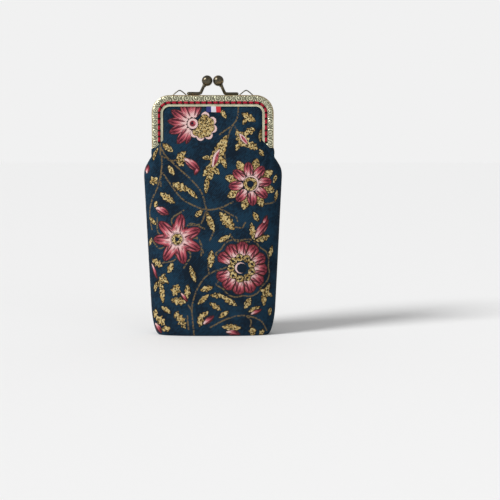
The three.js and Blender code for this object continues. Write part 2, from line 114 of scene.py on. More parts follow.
BASE_CORNER = (4.5, 20.0)  # the same for the outline's lower corners
MOUTH_CORNER = 9.5  # radius of the cloth's top corners, inside the channel
STITCH_FOOT = LEG_FOOT + LEAF - STITCH_INSET + 1.1  # height of the lowest holes
STITCH_STEPS = 20
FORE_AFT = np.array([0.0, 1.0, 0.0])  # from the front to the back


def blend_in(value, start, end, power=1.0):
    """0 up to start, 1 from end on, and smooth between."""
    share = np.clip((value - start) / (end - start), 0, 1) ** power
    return share * share * (3 - 2 * share)


def spline(points, count):
    """Smooth curve through points: each stretch is a Catmull-Rom cubic."""
    p = np.asarray(points, float)
    p = np.vstack([2 * p[0] - p[1], p, 2 * p[-1] - p[-2]])
    t = np.linspace(0, len(p) - 3, count)
    k = np.minimum(t.astype(int), len(p) - 4)
    t = (t - k)[:, None]
    a, b, c, d = p[k], p[k + 1], p[k + 2], p[k + 3]
    return 0.5 * (
        2 * b + (c - a) * t + (2 * a - 5 * b + 4 * c - d) * t**2 + (3 * b - a - 3 * c + d) * t**3
    )


# ------------------------------------------------------------------------------------------------
# Meshes
# ------------------------------------------------------------------------------------------------


class Shape:
    """Points in millimetres and faces, gathered into one mesh."""

    def __init__(self):
        self.points = []
        self.faces = []
        self.count = 0

    def add(self, points, *faces):
        points = np.asarray(points, float).reshape(-1, 3)
        self.points.append(points)
        self.faces += [np.asarray(f) + self.count for f in faces if len(f)]
        self.count += len(points)
        return self

    def facing(self, side):
        """The same shape as it is for side 1, and turned half a turn about Z for side -1."""
        self.points = [p * [side, side, 1] for p in self.points]
        return self

    def object(self, name, fields=None, uv=None):
        points = np.vstack(self.points) * MM
        mesh = bpy.data.meshes.new(name)
        mesh.vertices.add(len(points))
        mesh.vertices.foreach_set("co", points.astype(np.float32).ravel())
        totals = np.concatenate([np.full(len(f), f.shape[1]) for f in self.faces])
        corners = np.concatenate([f.ravel() for f in self.faces])
        mesh.loops.add(len(corners))
        mesh.loops.foreach_set("vertex_index", corners.astype(np.int32))
        mesh.polygons.add(len(totals))
        starts = np.concatenate([[0], np.cumsum(totals)[:-1]])
        mesh.polygons.foreach_set("loop_start", starts.astype(np.int32))
        mesh.polygons.foreach_set("loop_total", totals.astype(np.int32))
        mesh.update(calc_edges=True)
        mesh.validate()
        mesh.shade_smooth()
        if uv is not None:
            layer = mesh.uv_layers.new(name="OFBake")
            layer.data.foreach_set("uv", uv.reshape(-1, 2)[corners].astype(np.float32).ravel())
        for key, values in (fields or {}).items():
            attribute = mesh.attributes.new(key, "FLOAT", "POINT")
            attribute.data.foreach_set("value", np.asarray(values, np.float32).ravel())
        piece = bpy.data.objects.new(name, mesh)
        bpy.context.collection.objects.link(piece)
        return piece


def grid_faces(rows, columns, wrap=False):
    """Quads of a grid of points, whose last column joins the first one if wrap is set."""
    row = np.arange(rows - 1)[:, None] * columns
    c = np.arange(columns if wrap else columns - 1)[None, :]
    d = (c + 1) % columns
    corners = np.broadcast_arrays(row + c, row + d, row + columns + d, row + columns + c)
    return np.stack(corners, axis=-1).reshape(-1, 4)


def closed_rings(rings, start, end):
    """Rings of points joined into a skin, with a fan from a pole to each end ring."""
    rows, columns = rings.shape[:2]
    c = np.arange(columns)
    d = (c + 1) % columns
    first = rows * columns
    low = np.stack([np.full(columns, first), d, c], axis=1)
    high = np.stack([np.full(columns, first + 1), first - columns + c, first - columns + d], axis=1)
    points = np.vstack([rings.reshape(-1, 3), start, end])
    return points, grid_faces(rows, columns, True), np.vstack([low, high])


def outwards(points, *faces):
    """The same faces, turned over if the shape they close is inside out."""
    volume = 0.0
    for f in faces:
        a = points[f[:, 0]]
        for k in range(1, f.shape[1] - 1):
            volume += np.einsum("ij,ij->", a, np.cross(points[f[:, k]], points[f[:, k + 1]]))
    return (points, *[f[:, ::-1] for f in faces]) if volume < 0 else (points, *faces)


def circle(across, up, sides):
    """Unit vectors round a circle, in the plane of two directions or of each pair of them."""
    turn = np.linspace(0, 2 * np.pi, sides, endpoint=False)[:, None]
    return np.cos(turn) * across[..., None, :] + np.sin(turn) * up[..., None, :]


def tube(path, radius, sides):
    """A circle of some radius carried along a path, closed by a point at each end."""
    along = np.gradient(path, axis=0)
    along /= np.linalg.norm(along, axis=1, keepdims=True)
    across = FORE_AFT - along * (along @ FORE_AFT)[:, None]
    across /= np.linalg.norm(across, axis=1, keepdims=True)
    radius = np.broadcast_to(radius, len(path))[:, None, None]
    rings = path[:, None] + radius * circle(across, np.cross(along, across), sides)
    return outwards(*closed_rings(rings, path[0], path[-1]))


def turned(profile, centre, axis, sides, tip=0.0):
    """A profile of (way along the axis, radius) turned round it; tip is how far its end stands out."""
    across = np.cross(axis, FORE_AFT)
    across /= np.linalg.norm(across)
    way, radius = np.asarray(profile, float).T
    round_ = radius[:, None, None] * circle(across, np.cross(axis, across), sides)
    rings = centre + way[:, None, None] * axis + round_
    return outwards(*closed_rings(rings, centre + way[0] * axis, centre + (way[-1] + tip) * axis))


# ------------------------------------------------------------------------------------------------
# Materials
# ------------------------------------------------------------------------------------------------


def srgb(red, green, blue):
    """A display colour from 0 to 255 as the linear colour that shaders use."""
    c = np.array([red, green, blue]) / 255
    return tuple(np.where(c <= 0.04045, c / 12.92, ((c + 0.055) / 1.055) ** 2.4))


class Wire:
    """A node's output, on which arithmetic adds Math nodes."""

    def __init__(self, finish, output):
        self.finish = finish
        self.output = output

    def math(self, operation, *others, first=None):
        values = [self if first is None else first, *others]
        return self.finish.node("Math", {"operation": operation}, dict(enumerate(values)))

    def __add__(self, other):
        return self.math("ADD", other)

    __radd__ = __add__

    def __sub__(self, other):
        return self.math("SUBTRACT", other)

    def __rsub__(self, other):
        return self.math("SUBTRACT", self, first=other)

    def __mul__(self, other):
        return self.math("MULTIPLY", other)

    __rmul__ = __mul__

    def __truediv__(self, other):
        return self.math("DIVIDE", other)

    def most(self, other):
        return self.math("MAXIMUM", other)

    def ripple(self, pitch):
        """A sine wave of some pitch, from 0 to 1."""
        return (self * (2 * math.pi / pitch)).math("SINE") * 0.5 + 0.5

    def rise(self, start, end):
        """0 up to start, 1 from end on, and smooth between; start may be the larger."""
        settings = {"interpolation_type": "SMOOTHSTEP", "clamp": True}
        return self.finish.node("MapRange", settings, {0: self, 1: start, 2: end, 3: 0.0, 4: 1.0})


class Finish:
    """A new material under construction, or the world if it is given."""

    def __init__(self, name, world=None):
        self.owner = world or bpy.data.materials.new(name)
        self.owner.use_nodes = True
        self.tree = self.owner.node_tree
        self.tree.nodes.clear()

    def node(self, kind, settings=None, sockets=None, output=0):
        """A shader node of a kind, with its settings made first and then its sockets."""
        node = self.tree.nodes.new("ShaderNode" + kind)
        for key, value in (settings or {}).items():
            setattr(node, key, value)
        for key, value in (sockets or {}).items():
            socket = node.inputs[key]
            if isinstance(value, Wire):
                self.tree.links.new(value.output, socket)
            elif isinstance(value, tuple) and len(value) == 3 and socket.type == "RGBA":
                socket.default_value = (*value, 1)
            else:
                socket.default_value = value
        return Wire(self, node.outputs[output]) if node.outputs else None

    def field(self, name):
        """A number stored on the mesh's points."""
        return self.node("Attribute", {"attribute_name": name}, output=2)

    def place(self):
        """Object coordinates, in metres."""
        return self.node("TexCoord", output=3)

    def apart(self, vector):
        """The three parts of a vector."""
        split = self.node("SeparateXYZ", None, {0: vector}).output.node
        return [Wire(self, output) for output in split.outputs]

    def joined(self, x, y, z=0.0):
        return self.node("CombineXYZ", None, {0: x, 1: y, 2: z})

    def grain(self, vector, scale, detail=2.0, roughness=0.5):
        """Noise from 0 to 1 at so many features in a unit."""
        sockets = {"Vector": vector, "Scale": scale, "Detail": detail, "Roughness": roughness}
        return self.node("TexNoise", None, sockets)

    def cells(self, vector, scale):
        """Distance to the nearest of many scattered points."""
        return self.node("TexVoronoi", None, {"Vector": vector, "Scale": scale})

    def mix(self, share, a, b):
        """Colour a turning into b as share goes from 0 to 1."""
        return self.node("Mix", {"data_type": "RGBA"}, {0: share, 6: a, 7: b}, output=2)

    def done(self, bump=(), **sockets):
        """Ends the material in a Principled shader; bump is a list of (height, strength, distance)."""
        normal = None
        for height, strength, distance in bump:
            links = {"Height": height, "Strength": strength, "Distance": distance}
            if normal is not None:
                links["Normal"] = normal
            normal = self.node("Bump", None, links)
        if normal is not None:
            sockets["Normal"] = normal
        sockets = {key.replace("_", " "): value for key, value in sockets.items()}
        shader = self.node("BsdfPrincipled", None, sockets)
        self.node("OutputMaterial", None, {0: shader})
        return self.owner


# ------------------------------------------------------------------------------------------------
# Cloth panels
# ------------------------------------------------------------------------------------------------


def round_edge(z, inset, rise):
    """How far a round edge of an elliptic section pulls in at a height over the base."""
    return inset * (1 - np.sqrt(1 - np.clip((rise - z) / rise, 0, 1) ** 2))


def half_width(z):
    """Outline of the cloth: straight sides to the shoulder, then in to the frame and the channel."""
    side = BASE_HALF + (SHOULDER_HALF - BASE_HALF) * np.clip(z / SHOULDER, 0, 1)
    side = side - (SHOULDER_HALF - NECK_HALF) * blend_in(z, SHOULDER, HINGE - 2, 1.65)
    side = side - (NECK_HALF - MOUTH_HALF) * blend_in(z, LEG_FOOT - 1.2, LEG_FOOT + 2.6)
    turn = np.clip((z - (MOUTH_TOP - MOUTH_CORNER)) / MOUTH_CORNER, 0, 1)
    return side - MOUTH_CORNER * (1 - np.sqrt(1 - turn**2)) - round_edge(z, *BASE_CORNER)


def half_depth(z):
    """Middle of the front, from the closing plane: a belly over the base, and thin at the neck."""
    swell = (BELLY - BASE_DEPTH) * blend_in(z, 0, BELLY_HEIGHT)
    neck = (BELLY - NECK_DEPTH) * blend_in(z, BELLY_HEIGHT, HINGE + 7, 1.6)
    return BASE_DEPTH + swell - neck - round_edge(z, *BASE_EDGE)


def inside_lip(x, z):
    """Distance inside the frame's lip, whose two corners are round and whose foot is open."""
    corner = 5.5
    qx = np.abs(x) - (LIP_HALF - corner)
    qz = z - (LIP_TOP - corner)
    outside = np.hypot(np.maximum(qx, 0), np.maximum(qz, 0))
    return corner - outside - np.minimum(np.maximum(qx, qz), 0)


def mouth_depth(x, z):
    """Face of the cloth between the legs: held under the leaf, and full as soon as it is free."""
    foot_cut = np.where(x > 0, 6.2, 1.6)  # the cloth comes free lower down at the right leg
    free_by = LEG_FOOT + 9
    foot = FRAME_HALF + LEG_FOOT - foot_cut
    under_foot = np.minimum((foot - np.abs(x) - z) / math.sqrt(2), free_by - z)
    free = np.maximum(np.maximum(inside_lip(x, z), under_foot), 0)
    down = np.clip((LIP_TOP - z) / (LIP_TOP - HINGE), 0, 1)
    fullness = 1.9 + 3.4 * down**1.3
    reach = 2.6
    return HELD + fullness * (1 - np.exp(-free / reach))


def panel(wall_inset, channel_inset, step):
    """One cloth layer of the front: rows from the base seam round the base and up into the channel.

    Each row is a superellipse in the pouch and the mouth's face in the frame, with its points spaced
    evenly along it. Returns the points and their flat coordinates, across and up the cloth.
    """
    edge_top = BASE_EDGE[1]
    turn = np.linspace(0, np.pi / 2, int(EDGE_WAY / step))[:-1]
    round_rows = edge_top * (1 - np.cos(turn))
    heights = np.concatenate([round_rows, np.arange(edge_top, MOUTH_TOP, step), [MOUTH_TOP]])
    base = np.linspace(0, 1, int(BASE_WAY / step))[:-1]
    z = np.concatenate([np.zeros(len(base)), heights])[:, None]
    share = np.concatenate([base, np.ones(len(heights))])[:, None]

    samples = 900
    t = np.linspace(0, 1, samples)[None, :]
    power = 2 / (3 - 0.5 * blend_in(z, 0, BELLY_HEIGHT))
    cosine, sine = np.cos(np.pi * t), np.sin(np.pi * t)
    inset = wall_inset + (channel_inset - wall_inset) * blend_in(z, HINGE - 4, HINGE + 25)
    width = half_width(z) - wall_inset * (1 - blend_in(z, HINGE - 4, HINGE + 4))
    x = -width * np.sign(cosine) * np.abs(cosine) ** power

    # The pouch's wall, from the seam, and the mouth's face, whose side edges roll in to the seam
    edge = SEAM + 2.6 * blend_in(z, HINGE - 7.5, HINGE - 3.2)
    wall = edge + (half_depth(z) - inset - edge) * np.abs(sine) ** power
    mouth = mouth_depth(x, z) - inset
    roll = 3.0
    rolled = np.sqrt(1 - (1 - np.clip((width - np.abs(x)) / roll, 0, 1)) ** 2)
    hold = blend_in(z, LEG_FOOT, LEG_FOOT + 3)
    mouth = edge + (mouth - edge) * (rolled + (1 - rolled) * hold * (mouth < HELD + 0.01))
    upper = blend_in(z, HINGE - 8, HINGE + 2)
    y = -(wall + (mouth - wall) * upper)
    lifted = z + wall_inset * np.clip(1 - z / HINGE, 0, 1) + 0 * x

    # The rows under the base come in to its middle seam
    reach = half_width(0.0) - half_depth(0.0)
    x = x * share - reach * cosine * (1 - share)
    y = y * share - SEAM * (1 - share) * np.ones_like(x)
    rows = np.stack([x, y, lifted], axis=-1)

    pieces = np.linalg.norm(np.diff(rows, axis=1), axis=2)
    length = np.concatenate([np.zeros((len(z), 1)), np.cumsum(pieces, axis=1)], axis=1)
    even = np.linspace(0, 1, int(length.max() / step))
    points = np.empty((len(rows), len(even), 3))
    for place, way, row in zip(points, length, rows):
        for k in range(3):
            place[:, k] = np.interp(even * way[-1], way, row[:, k])
    across = (even[None, :] - 0.5) * length[:, -1:]
    under = BASE_DEPTH - 3  # way along the cloth under the base, from its middle seam
    up = np.concatenate([(base - 1) * under, heights])[:, None] + 0 * across
    return points, across, up


def crumple(points):
    """Pulls in the cloth's face along its seams and round the hinge, in soft shallow waves."""
    x, z = points[..., 0], points[..., 2]
    from_side = half_width(z) - np.abs(x)
    beside_seam = np.exp(-((from_side / 7.0) ** 2)) * blend_in(z, 12, 30) * blend_in(z, 126, 112)
    puckers = np.sin(z * 0.72 + 1.7 * np.sin(z * 0.19) + np.sign(x) * 1.3) * 0.13

    hinge_x = np.abs(x) - (FRAME_HALF - 3)
    hinge_z = z - HINGE
    reach = np.hypot(hinge_x, hinge_z)
    by_hinge = np.exp(-((reach / 17) ** 2)) * blend_in(reach, 2, 8) * blend_in(z, 134, 126)
    folds = np.cos(9 * np.arctan2(hinge_z, -hinge_x) + np.sign(x)) * 0.5

    middle = blend_in(from_side, 4, 20) * blend_in(z, 4, 25) * blend_in(z, 158, 135)
    waves = np.sin(x * 0.09 + z * 0.05 + 1.0) * np.sin(z * 0.07 - x * 0.03) * 0.55

    push = puckers * beside_seam + folds * by_hinge + waves * middle
    normal = np.cross(np.gradient(points, axis=1), np.gradient(points, axis=0))
    normal /= np.linalg.norm(normal, axis=2, keepdims=True) + 1e-12
    return points - normal * push[..., None]


# ------------------------------------------------------------------------------------------------
# Printed flowers: every motif is a distance in millimetres inside its outline, on the flat cloth
# ------------------------------------------------------------------------------------------------

# Leaves and buds: middle across, middle up, length, width, tilt in degrees, and how lobed the outline is
GOLD_LEAVES = [
    (7.3, 155.2, 8.5, 3.2, -55, 0.1), (25, 152.6, 11.5, 5.2, -31, 0.3), (22.4, 150, 5.5, 3, 60, 0.1),
    (25.8, 143, 8.5, 5, 24, 0.3), (20.8, 137.4, 14.5, 8.6, -52, 0.35), (17.6, 132.6, 7, 3.6, 70, 0.2),
    (27.6, 132.8, 9.5, 5.4, -28, 0.35), (33.9, 140, 9, 3.6, 84, 0.15), (34.4, 128, 6, 3, -55, 0.1),
    (4.4, 128, 27, 8.4, 66, 0.12), (7.8, 121.4, 9, 3.6, -66, 0.2), (-3.4, 124.6, 7, 3.2, 0, 0.2),
    (-1.6, 117.4, 15, 5.6, 48, 0.2), (2.6, 115.6, 7, 3.6, -50, 0.2), (-1, 113, 8, 3.6, 82, 0.2),
    (-4, 106, 13, 3.6, 84, 0.15), (-31.2, 131.6, 10, 4.2, -36, 0.15),
    (-40, 127, 10, 2.6, 68, 0.1), (-21.4, 126.4, 8.5, 4.4, 38, 0.25), (-22.4, 121.2, 7, 4.6, -50, 0.3),
    (-19.4, 123.4, 6, 4, 5, 0.3), (-28.7, 115.8, 8.4, 3.6, -60, 0.15), (-41.4, 108.6, 7, 6.4, 30, 0.5),
    (-22.4, 104.4, 12, 6.2, -24, 0.35), (-14.4, 100.4, 11.5, 3.2, -44, 0.15),
    (-31.6, 96.8, 13, 5.2, -34, 0.3), (-40.2, 92.4, 4.6, 3, 70, 0.2), (-9.4, 86.2, 7.2, 3.8, 40, 0.15),
    (-1.3, 80, 14, 4.8, -68, 0.2), (10, 81, 16, 7.4, -50, 0.25), (30.2, 83.8, 7.6, 3.8, -60, 0.15),
    (8.2, 68.8, 10, 3.8, 27, 0.2), (45.4, 98.4, 8, 3, 80, 0.1), (27.9, 73.6, 13, 4.4, -80, 0.25),
    (35.2, 68.8, 11, 5, 16, 0.35), (-43, 80.6, 8, 3.2, -40, 0.1), (-1, 54.6, 12.5, 5, 86, 0.25),
    (-29.5, 48.2, 8.4, 4.2, 65, 0.15), (-13.8, 44.2, 13, 3.8, -72, 0.2), (-39.8, 51.4, 10, 5.4, -28, 0.5),
    (-36.2, 39.4, 11, 5.2, 62, 0.45), (-35.9, 30.6, 15, 4.2, -84, 0.25), (-41.2, 34.4, 8, 3, 75, 0.15),
    (-33.6, 40, 8, 3, -50, 0.2), (-25.8, 32.8, 9, 6.8, 68, 0.45), (-17.6, 31.6, 11, 4.4, 86, 0.3),
    (-24, 25, 11, 6, -10, 0.45), (-4.2, 33.8, 9.4, 4.6, 15, 0.35), (-6.6, 26.2, 11, 3.6, 42, 0.2),
    (3.2, 29, 10, 4, -4, 0.3), (11.6, 25.2, 13, 4.4, -32, 0.3), (1.8, 21.2, 10, 4.2, -34, 0.4),
    (24.4, 23.6, 9, 4.6, 60, 0.2), (29, 19.2, 9.5, 3.6, 22, 0.2), (37.6, 31, 15, 4.6, 62, 0.4),
    (38.2, 30.4, 12, 4, -30, 0.4), (36.4, 26, 10, 3.6, 85, 0.2), (41.6, 59.4, 9, 3.4, 75, 0.2),
    (-32.9, 18.6, 8.4, 3.6, -34, 0.2), (-37.4, 10.8, 9, 7, -40, 0.5), (-41.8, 15.6, 7, 4.4, 70, 0.3),
    (-33.2, 5, 7, 4.6, 10, 0.4), (-22.2, 11.2, 13, 6, -62, 0.45), (-25.6, 15.4, 6, 3, 60, 0.2),
    (-8.6, 11.6, 10, 4.6, 84, 0.35), (-5.6, 15.6, 7, 3.4, 40, 0.3), (7.7, 15.6, 8.6, 3.6, 34, 0.2),
    (13.2, 6.4, 14, 5, -4, 0.35), (27.8, 3.4, 7, 5.4, 84, 0.3), (34.6, 2.4, 6, 4, 60, 0.3),
    (41, 17, 6, 3.4, 80, 0.2), (-45.6, 66, 7, 3, 60, 0.2), (44, 110, 7, 2.6, 70, 0.1),
    (2, -6, 14, 6, 20, 0.3), (-26, -6, 13, 6, -30, 0.3), (27, -8, 14, 6, -15, 0.3),
]

# Red buds and streaks: middle across, middle up, length, width, and tilt towards the tip
RED_BUDS = [
    (-14.2, 120.0, 13.5, 5.4, -38), (-11.2, 115.6, 6.0, 2.8, -110), (-35.4, 87.8, 10.5, 5.0, -24),
    (34.4, 75.4, 15.5, 5.6, 52), (36.8, 81.4, 7.0, 2.6, 66), (-42.2, 45.6, 12.0, 2.2, -64),
    (-19.9, 27.8, 7.5, 2.2, -52), (30.4, 17.2, 8.6, 2.6, 24), (-39.6, 5.2, 9.0, 4.0, -50),
    (-3.0, 11.6, 9.5, 3.4, 38), (14.2, 2.4, 10.0, 3.8, -10), (-46.8, 116.6, 6.0, 3.6, 80),
]

# Red hearts with a white rim, inside big leaves: middle, length, width and tilt
HEARTS = [(21.4, 137.6, 9.5, 3.2, -54), (2.4, 124.4, 14.0, 3.6, 68)]

# Stems, as points across and up the cloth
STEMS = [
    [(17.9, 161.0), (17.4, 153.0), (14.4, 147.6), (9.4, 144.0), (4.8, 140.6)],
    [(14.4, 147.6), (16.6, 144.6), (18.6, 141.8)],
    [(13.4, 146.4), (10.6, 138.6), (9.0, 129.0), (9.2, 121.0)],
    [(-37.6, 136.0), (-36.0, 128.8), (-35.2, 121.2), (-36.0, 115.0), (-36.2, 105.0)],
    [(-37.0, 133.0), (-31.0, 124.6), (-24.4, 118.0), (-15.0, 109.6), (-7.8, 101.0), (-4.2, 89.4)],
    [(-35.4, 126.0), (-29.0, 122.6), (-24.6, 123.2)],
    [(-35.4, 115.0), (-30.0, 107.4), (-21.6, 96.8), (-12.4, 91.4), (-4.0, 88.8), (5.2, 90.0), (14.2, 94.0)],
    [(-36.4, 112.0), (-38.6, 104.0), (-43.4, 94.4), (-45.4, 84.8), (-43.4, 74.0)],
    [(-4.2, 88.8), (-6.4, 82.4), (-8.8, 78.8), (-15.4, 78.0)],
    [(-3.4, 87.0), (1.2, 76.6), (-1.8, 67.4)],
    [(5.0, 89.6), (10.4, 86.8), (16.4, 83.4), (17.4, 80.8)],
    [(16.0, 76.8), (20.4, 76.4), (22.8, 79.8)],
    [(12.2, 72.0), (16.0, 67.2), (25.6, 66.4)],
    [(36.8, 92.6), (44.0, 94.0), (47.0, 99.0)],
    [(9.4, 48.8), (-2.2, 44.4), (-8.6, 37.4), (-12.4, 29.2), (-14.6, 18.8), (-13.4, 4.0), (-13.0, -8.0)],
    [(-2.4, 45.0), (-3.2, 50.6)],
    [(-17.0, 22.0), (-14.6, 18.4)],
    [(-17.8, 14.4), (-17.0, 5.0)],
    [(-1.8, 6.4), (10.4, 12.6), (21.6, 14.8), (33.2, 11.2), (38.6, 3.4)],
    [(23.4, 14.6), (26.8, 11.0), (26.2, 6.4)],
    [(-16.0, 75.0), (-8.2, 66.0), (-7.8, 57.0)],
]


def around(x, z, turn, reach):
    """The place at some reach from another, in a direction given in degrees."""
    return x + reach * math.cos(math.radians(turn)), z + reach * math.sin(math.radians(turn))


class Print:
    """The layers of the print on an array of places across and up the flat cloth."""

    def __init__(self, across, up):
        self.x, self.z = across, up
        far = 20.0
        names = ["gold", "red", "over", "pale", "core", "heart"]
        self.layers = {name: np.full(across.shape, -far) for name in names}
        self.layers["stem"] = np.full(across.shape, far)
        self.layers["run"] = np.zeros(across.shape)
        self.layers["stroke"] = np.zeros(across.shape)

    def lay(self, name, inside, run=None, stroke=None):
        """Adds a motif to a layer; where it is innermost its own run and strokes hold."""
        over = inside > self.layers[name]
        self.layers[name] = np.where(over, inside, self.layers[name])
        if run is not None:
            self.layers["run"] = np.where(over, run, self.layers["run"])
            self.layers["stroke"] = np.where(over, stroke, self.layers["stroke"])

    def lens(self, x, z, length, width, tilt, lobes=0.0, blunt=0.8):
        """A pointed leaf: half its width times a power of a half sine wave, cut into teeth."""
        turn = math.radians(tilt)
        dx, dz = self.x - x, self.z - z
        along = (dx * math.cos(turn) + dz * math.sin(turn)) / length + 0.5
        across = dz * math.cos(turn) - dx * math.sin(turn)
        inner = np.clip(along, 0, 1)
        wide = width / 2 * np.sin(np.pi * inner) ** blunt
        teeth = np.abs((inner * length / 3.1 + (across > 0) * 0.4) % 1 - 0.5) * 2
        wide = wide * (1 + lobes * (0.4 - 1.5 * teeth))
        beyond = np.abs(along - inner) * length
        inside = np.where(beyond > 0, -np.hypot(beyond, across), wide - np.abs(across))
        return inside, along, across

    def disc(self, x, z, radius):
        return radius - np.hypot(self.x - x, self.z - z)

    def stem(self, points):
        """Distance to a smooth line, as the least distance to its short straight stretches."""
        line = spline(points, 5 * len(points))
        for (ax, az), (bx, bz) in zip(line[:-1], line[1:]):
            ux, uz = bx - ax, bz - az
            share = np.clip(((self.x - ax) * ux + (self.z - az) * uz) / (ux * ux + uz * uz), 0, 1)
            away = np.hypot(self.x - ax - share * ux, self.z - az - share * uz)
            self.layers["stem"] = np.minimum(self.layers["stem"], away)

    def petals(self, name, x, z, turns, inner, outer, width, blunt=0.8):
        """Petals round a middle with a thin gap where two meet: the best less the second best."""
        middle = (inner + outer) / 2
        leaves = []
        for turn in turns:
            px, pz = around(x, z, turn, middle)
            leaves.append(self.lens(px, pz, outer - inner, width, turn, 0.0, blunt))
        inside, along, across = (np.stack(part) for part in zip(*leaves))
        order = np.sort(inside, axis=0)
        best = np.argmax(inside, axis=0)[None]
        gap = (order[-1] - order[-2]) * 0.8 - 0.15
        run, stroke = (np.take_along_axis(part, best, axis=0)[0] for part in (along, across))
        self.lay(name, np.minimum(order[-1], gap), run, stroke)

    def fan(self, x, z, turns, half, inner, outer):
        """Broad petals side by side: wedges of a ring with bowed tips."""
        radius = np.hypot(self.x - x, self.z - z)
        angle = np.arctan2(self.z - z, self.x - x)
        for turn in turns:
            off = (angle - math.radians(turn) + np.pi) % (2 * np.pi) - np.pi
            bow = np.clip(1 - (off / math.radians(half)) ** 2, 0, 1)
            tip = outer - 1.8 + 1.8 * bow
            side = (math.radians(half) - np.abs(off)) * radius
            inside = np.minimum(np.minimum(radius - inner, tip - radius), side)
            self.lay("red", inside, (radius - inner) / (outer - inner), off * radius)

    def ring(self, name, x, z, inner, outer):
        radius = np.hypot(self.x - x, self.z - z)
        self.lay(name, np.minimum(radius - inner, outer - radius))

    def scallops(self, name, x, z, turns, reach, radius):
        for turn in turns:
            self.lay(name, self.disc(*around(x, z, turn, reach), radius))


def star_flower(p, x, z):
    """Long split petals round a pale eye, and beside it a scalloped golden flower."""
    p.petals("red", x, z, [174, 148, 118, 84, 201, 232], 3.9, 17.4, 5.6, 0.6)
    p.petals("red", x, z, [100, 68, 252], 4.4, 14.6, 3.6, 0.7)
    p.lay("pale", p.disc(x, z, 3.7))
    p.lay("heart", p.disc(x, z, 2.2))
    p.lay("core", p.disc(x - 0.3, z + 0.2, 0.7))
    gold_x, gold_z = x + 7.2, z - 1.8
    clear = np.hypot(p.x - x, p.z - z) - 4.1
    for turn, reach in [(78, 7.4), (30, 7.4), (-14, 7.2), (-58, 7.4), (-104, 7.6), (-140, 7.8)]:
        p.lay("pale", np.minimum(p.disc(*around(gold_x, gold_z, turn, reach), 2.8), clear))
        p.lay("over", np.minimum(p.disc(*around(gold_x, gold_z, turn, reach - 2), 2.9), clear))
    p.lay("over", np.minimum(p.disc(gold_x, gold_z, 5.6), clear))


def daisy(p, x, z):
    """Red and golden petals by turns round a golden ring and a dark eye."""
    p.petals("gold", x, z, [74.5 - 45 * k for k in range(8)], 8.0, 18.2, 5.6, 0.6)
    p.petals("red", x, z, [97 - 45 * k for k in range(8)], 5.0, 15.0, 6.2, 0.45)
    p.ring("pale", x + 0.5, z + 0.3, 3.6, 5.5)
    p.ring("over", x, z, 2.3, 4.7)
    p.lay("core", p.disc(x, z, 2.3))


def windmill(p, x, z):
    """Long bent petals with loose outlines round a small golden eye."""
    turns = [138, 80, 24, -24, -74, -122, 182]
    p.petals("red", x, z, turns, 3.8, 17.6, 7.0, 0.55)
    p.petals("red", x, z, [t + 26 for t in turns], 4.0, 11.0, 2.6, 0.7)
    for turn in turns:
        root, near = (around(x, z, turn + 25, reach) for reach in (7, 14.5))
        p.stem([root, near, around(x, z, turn - 3, 20.5)])
    p.ring("pale", x, z, 3.4, 4.4)
    p.ring("over", x, z, 1.3, 3.8)
    p.lay("core", p.disc(x, z, 1.3))


def poppy(p, x, z):
    """A fan of broad petals, open at the left, round golden curls and a dark eye."""
    turns = [150, 119, 88, 57, 26, -5, -36, -67, -98, -129, -158]
    p.fan(x, z, turns, 13.6, 9.0, 18.4)
    outline = zip(range(152, -163, -15), [20.6, 19.4, 20.8] * 8)
    edge = [around(x, z, turn, reach) for turn, reach in outline]
    p.stem([(x - 11, z + 7.6), *edge, (x - 12, z - 5.6)])
    curls = [20 + 40 * k for k in range(9)]
    p.scallops("over", x, z, curls, 7.5, 2.5)
    p.lay("pale", p.disc(x - 0.8, z + 0.2, 3.9))
    p.scallops("core", x, z, curls, 7.8, 0.7)
    p.lay("core", p.disc(x, z, 3.2))


def printed(across, up):
    """All the layers of the print at places on the flat cloth."""
    p = Print(across, up)
    for points in STEMS:
        p.stem(points)
    for x, z, length, width, tilt, lobes in GOLD_LEAVES:
        p.lay("gold", p.lens(x, z, length, width, tilt, lobes)[0])
    for x, z, length, width, tilt in RED_BUDS:
        p.lay("red", *p.lens(x, z, length, width, tilt))
    for x, z, length, width, tilt in HEARTS:
        p.lay("pale", p.lens(x, z, length, width, tilt)[0])
        p.lay("heart", p.lens(x + 0.5, z - 0.5, length * 0.85, width * 0.6, tilt)[0])
    star_flower(p, -13.8, 148.2)
    daisy(p, 26.3, 106.5)
    windmill(p, -24.6, 68.3)
    poppy(p, 20.2, 48.2)
    return p.layers


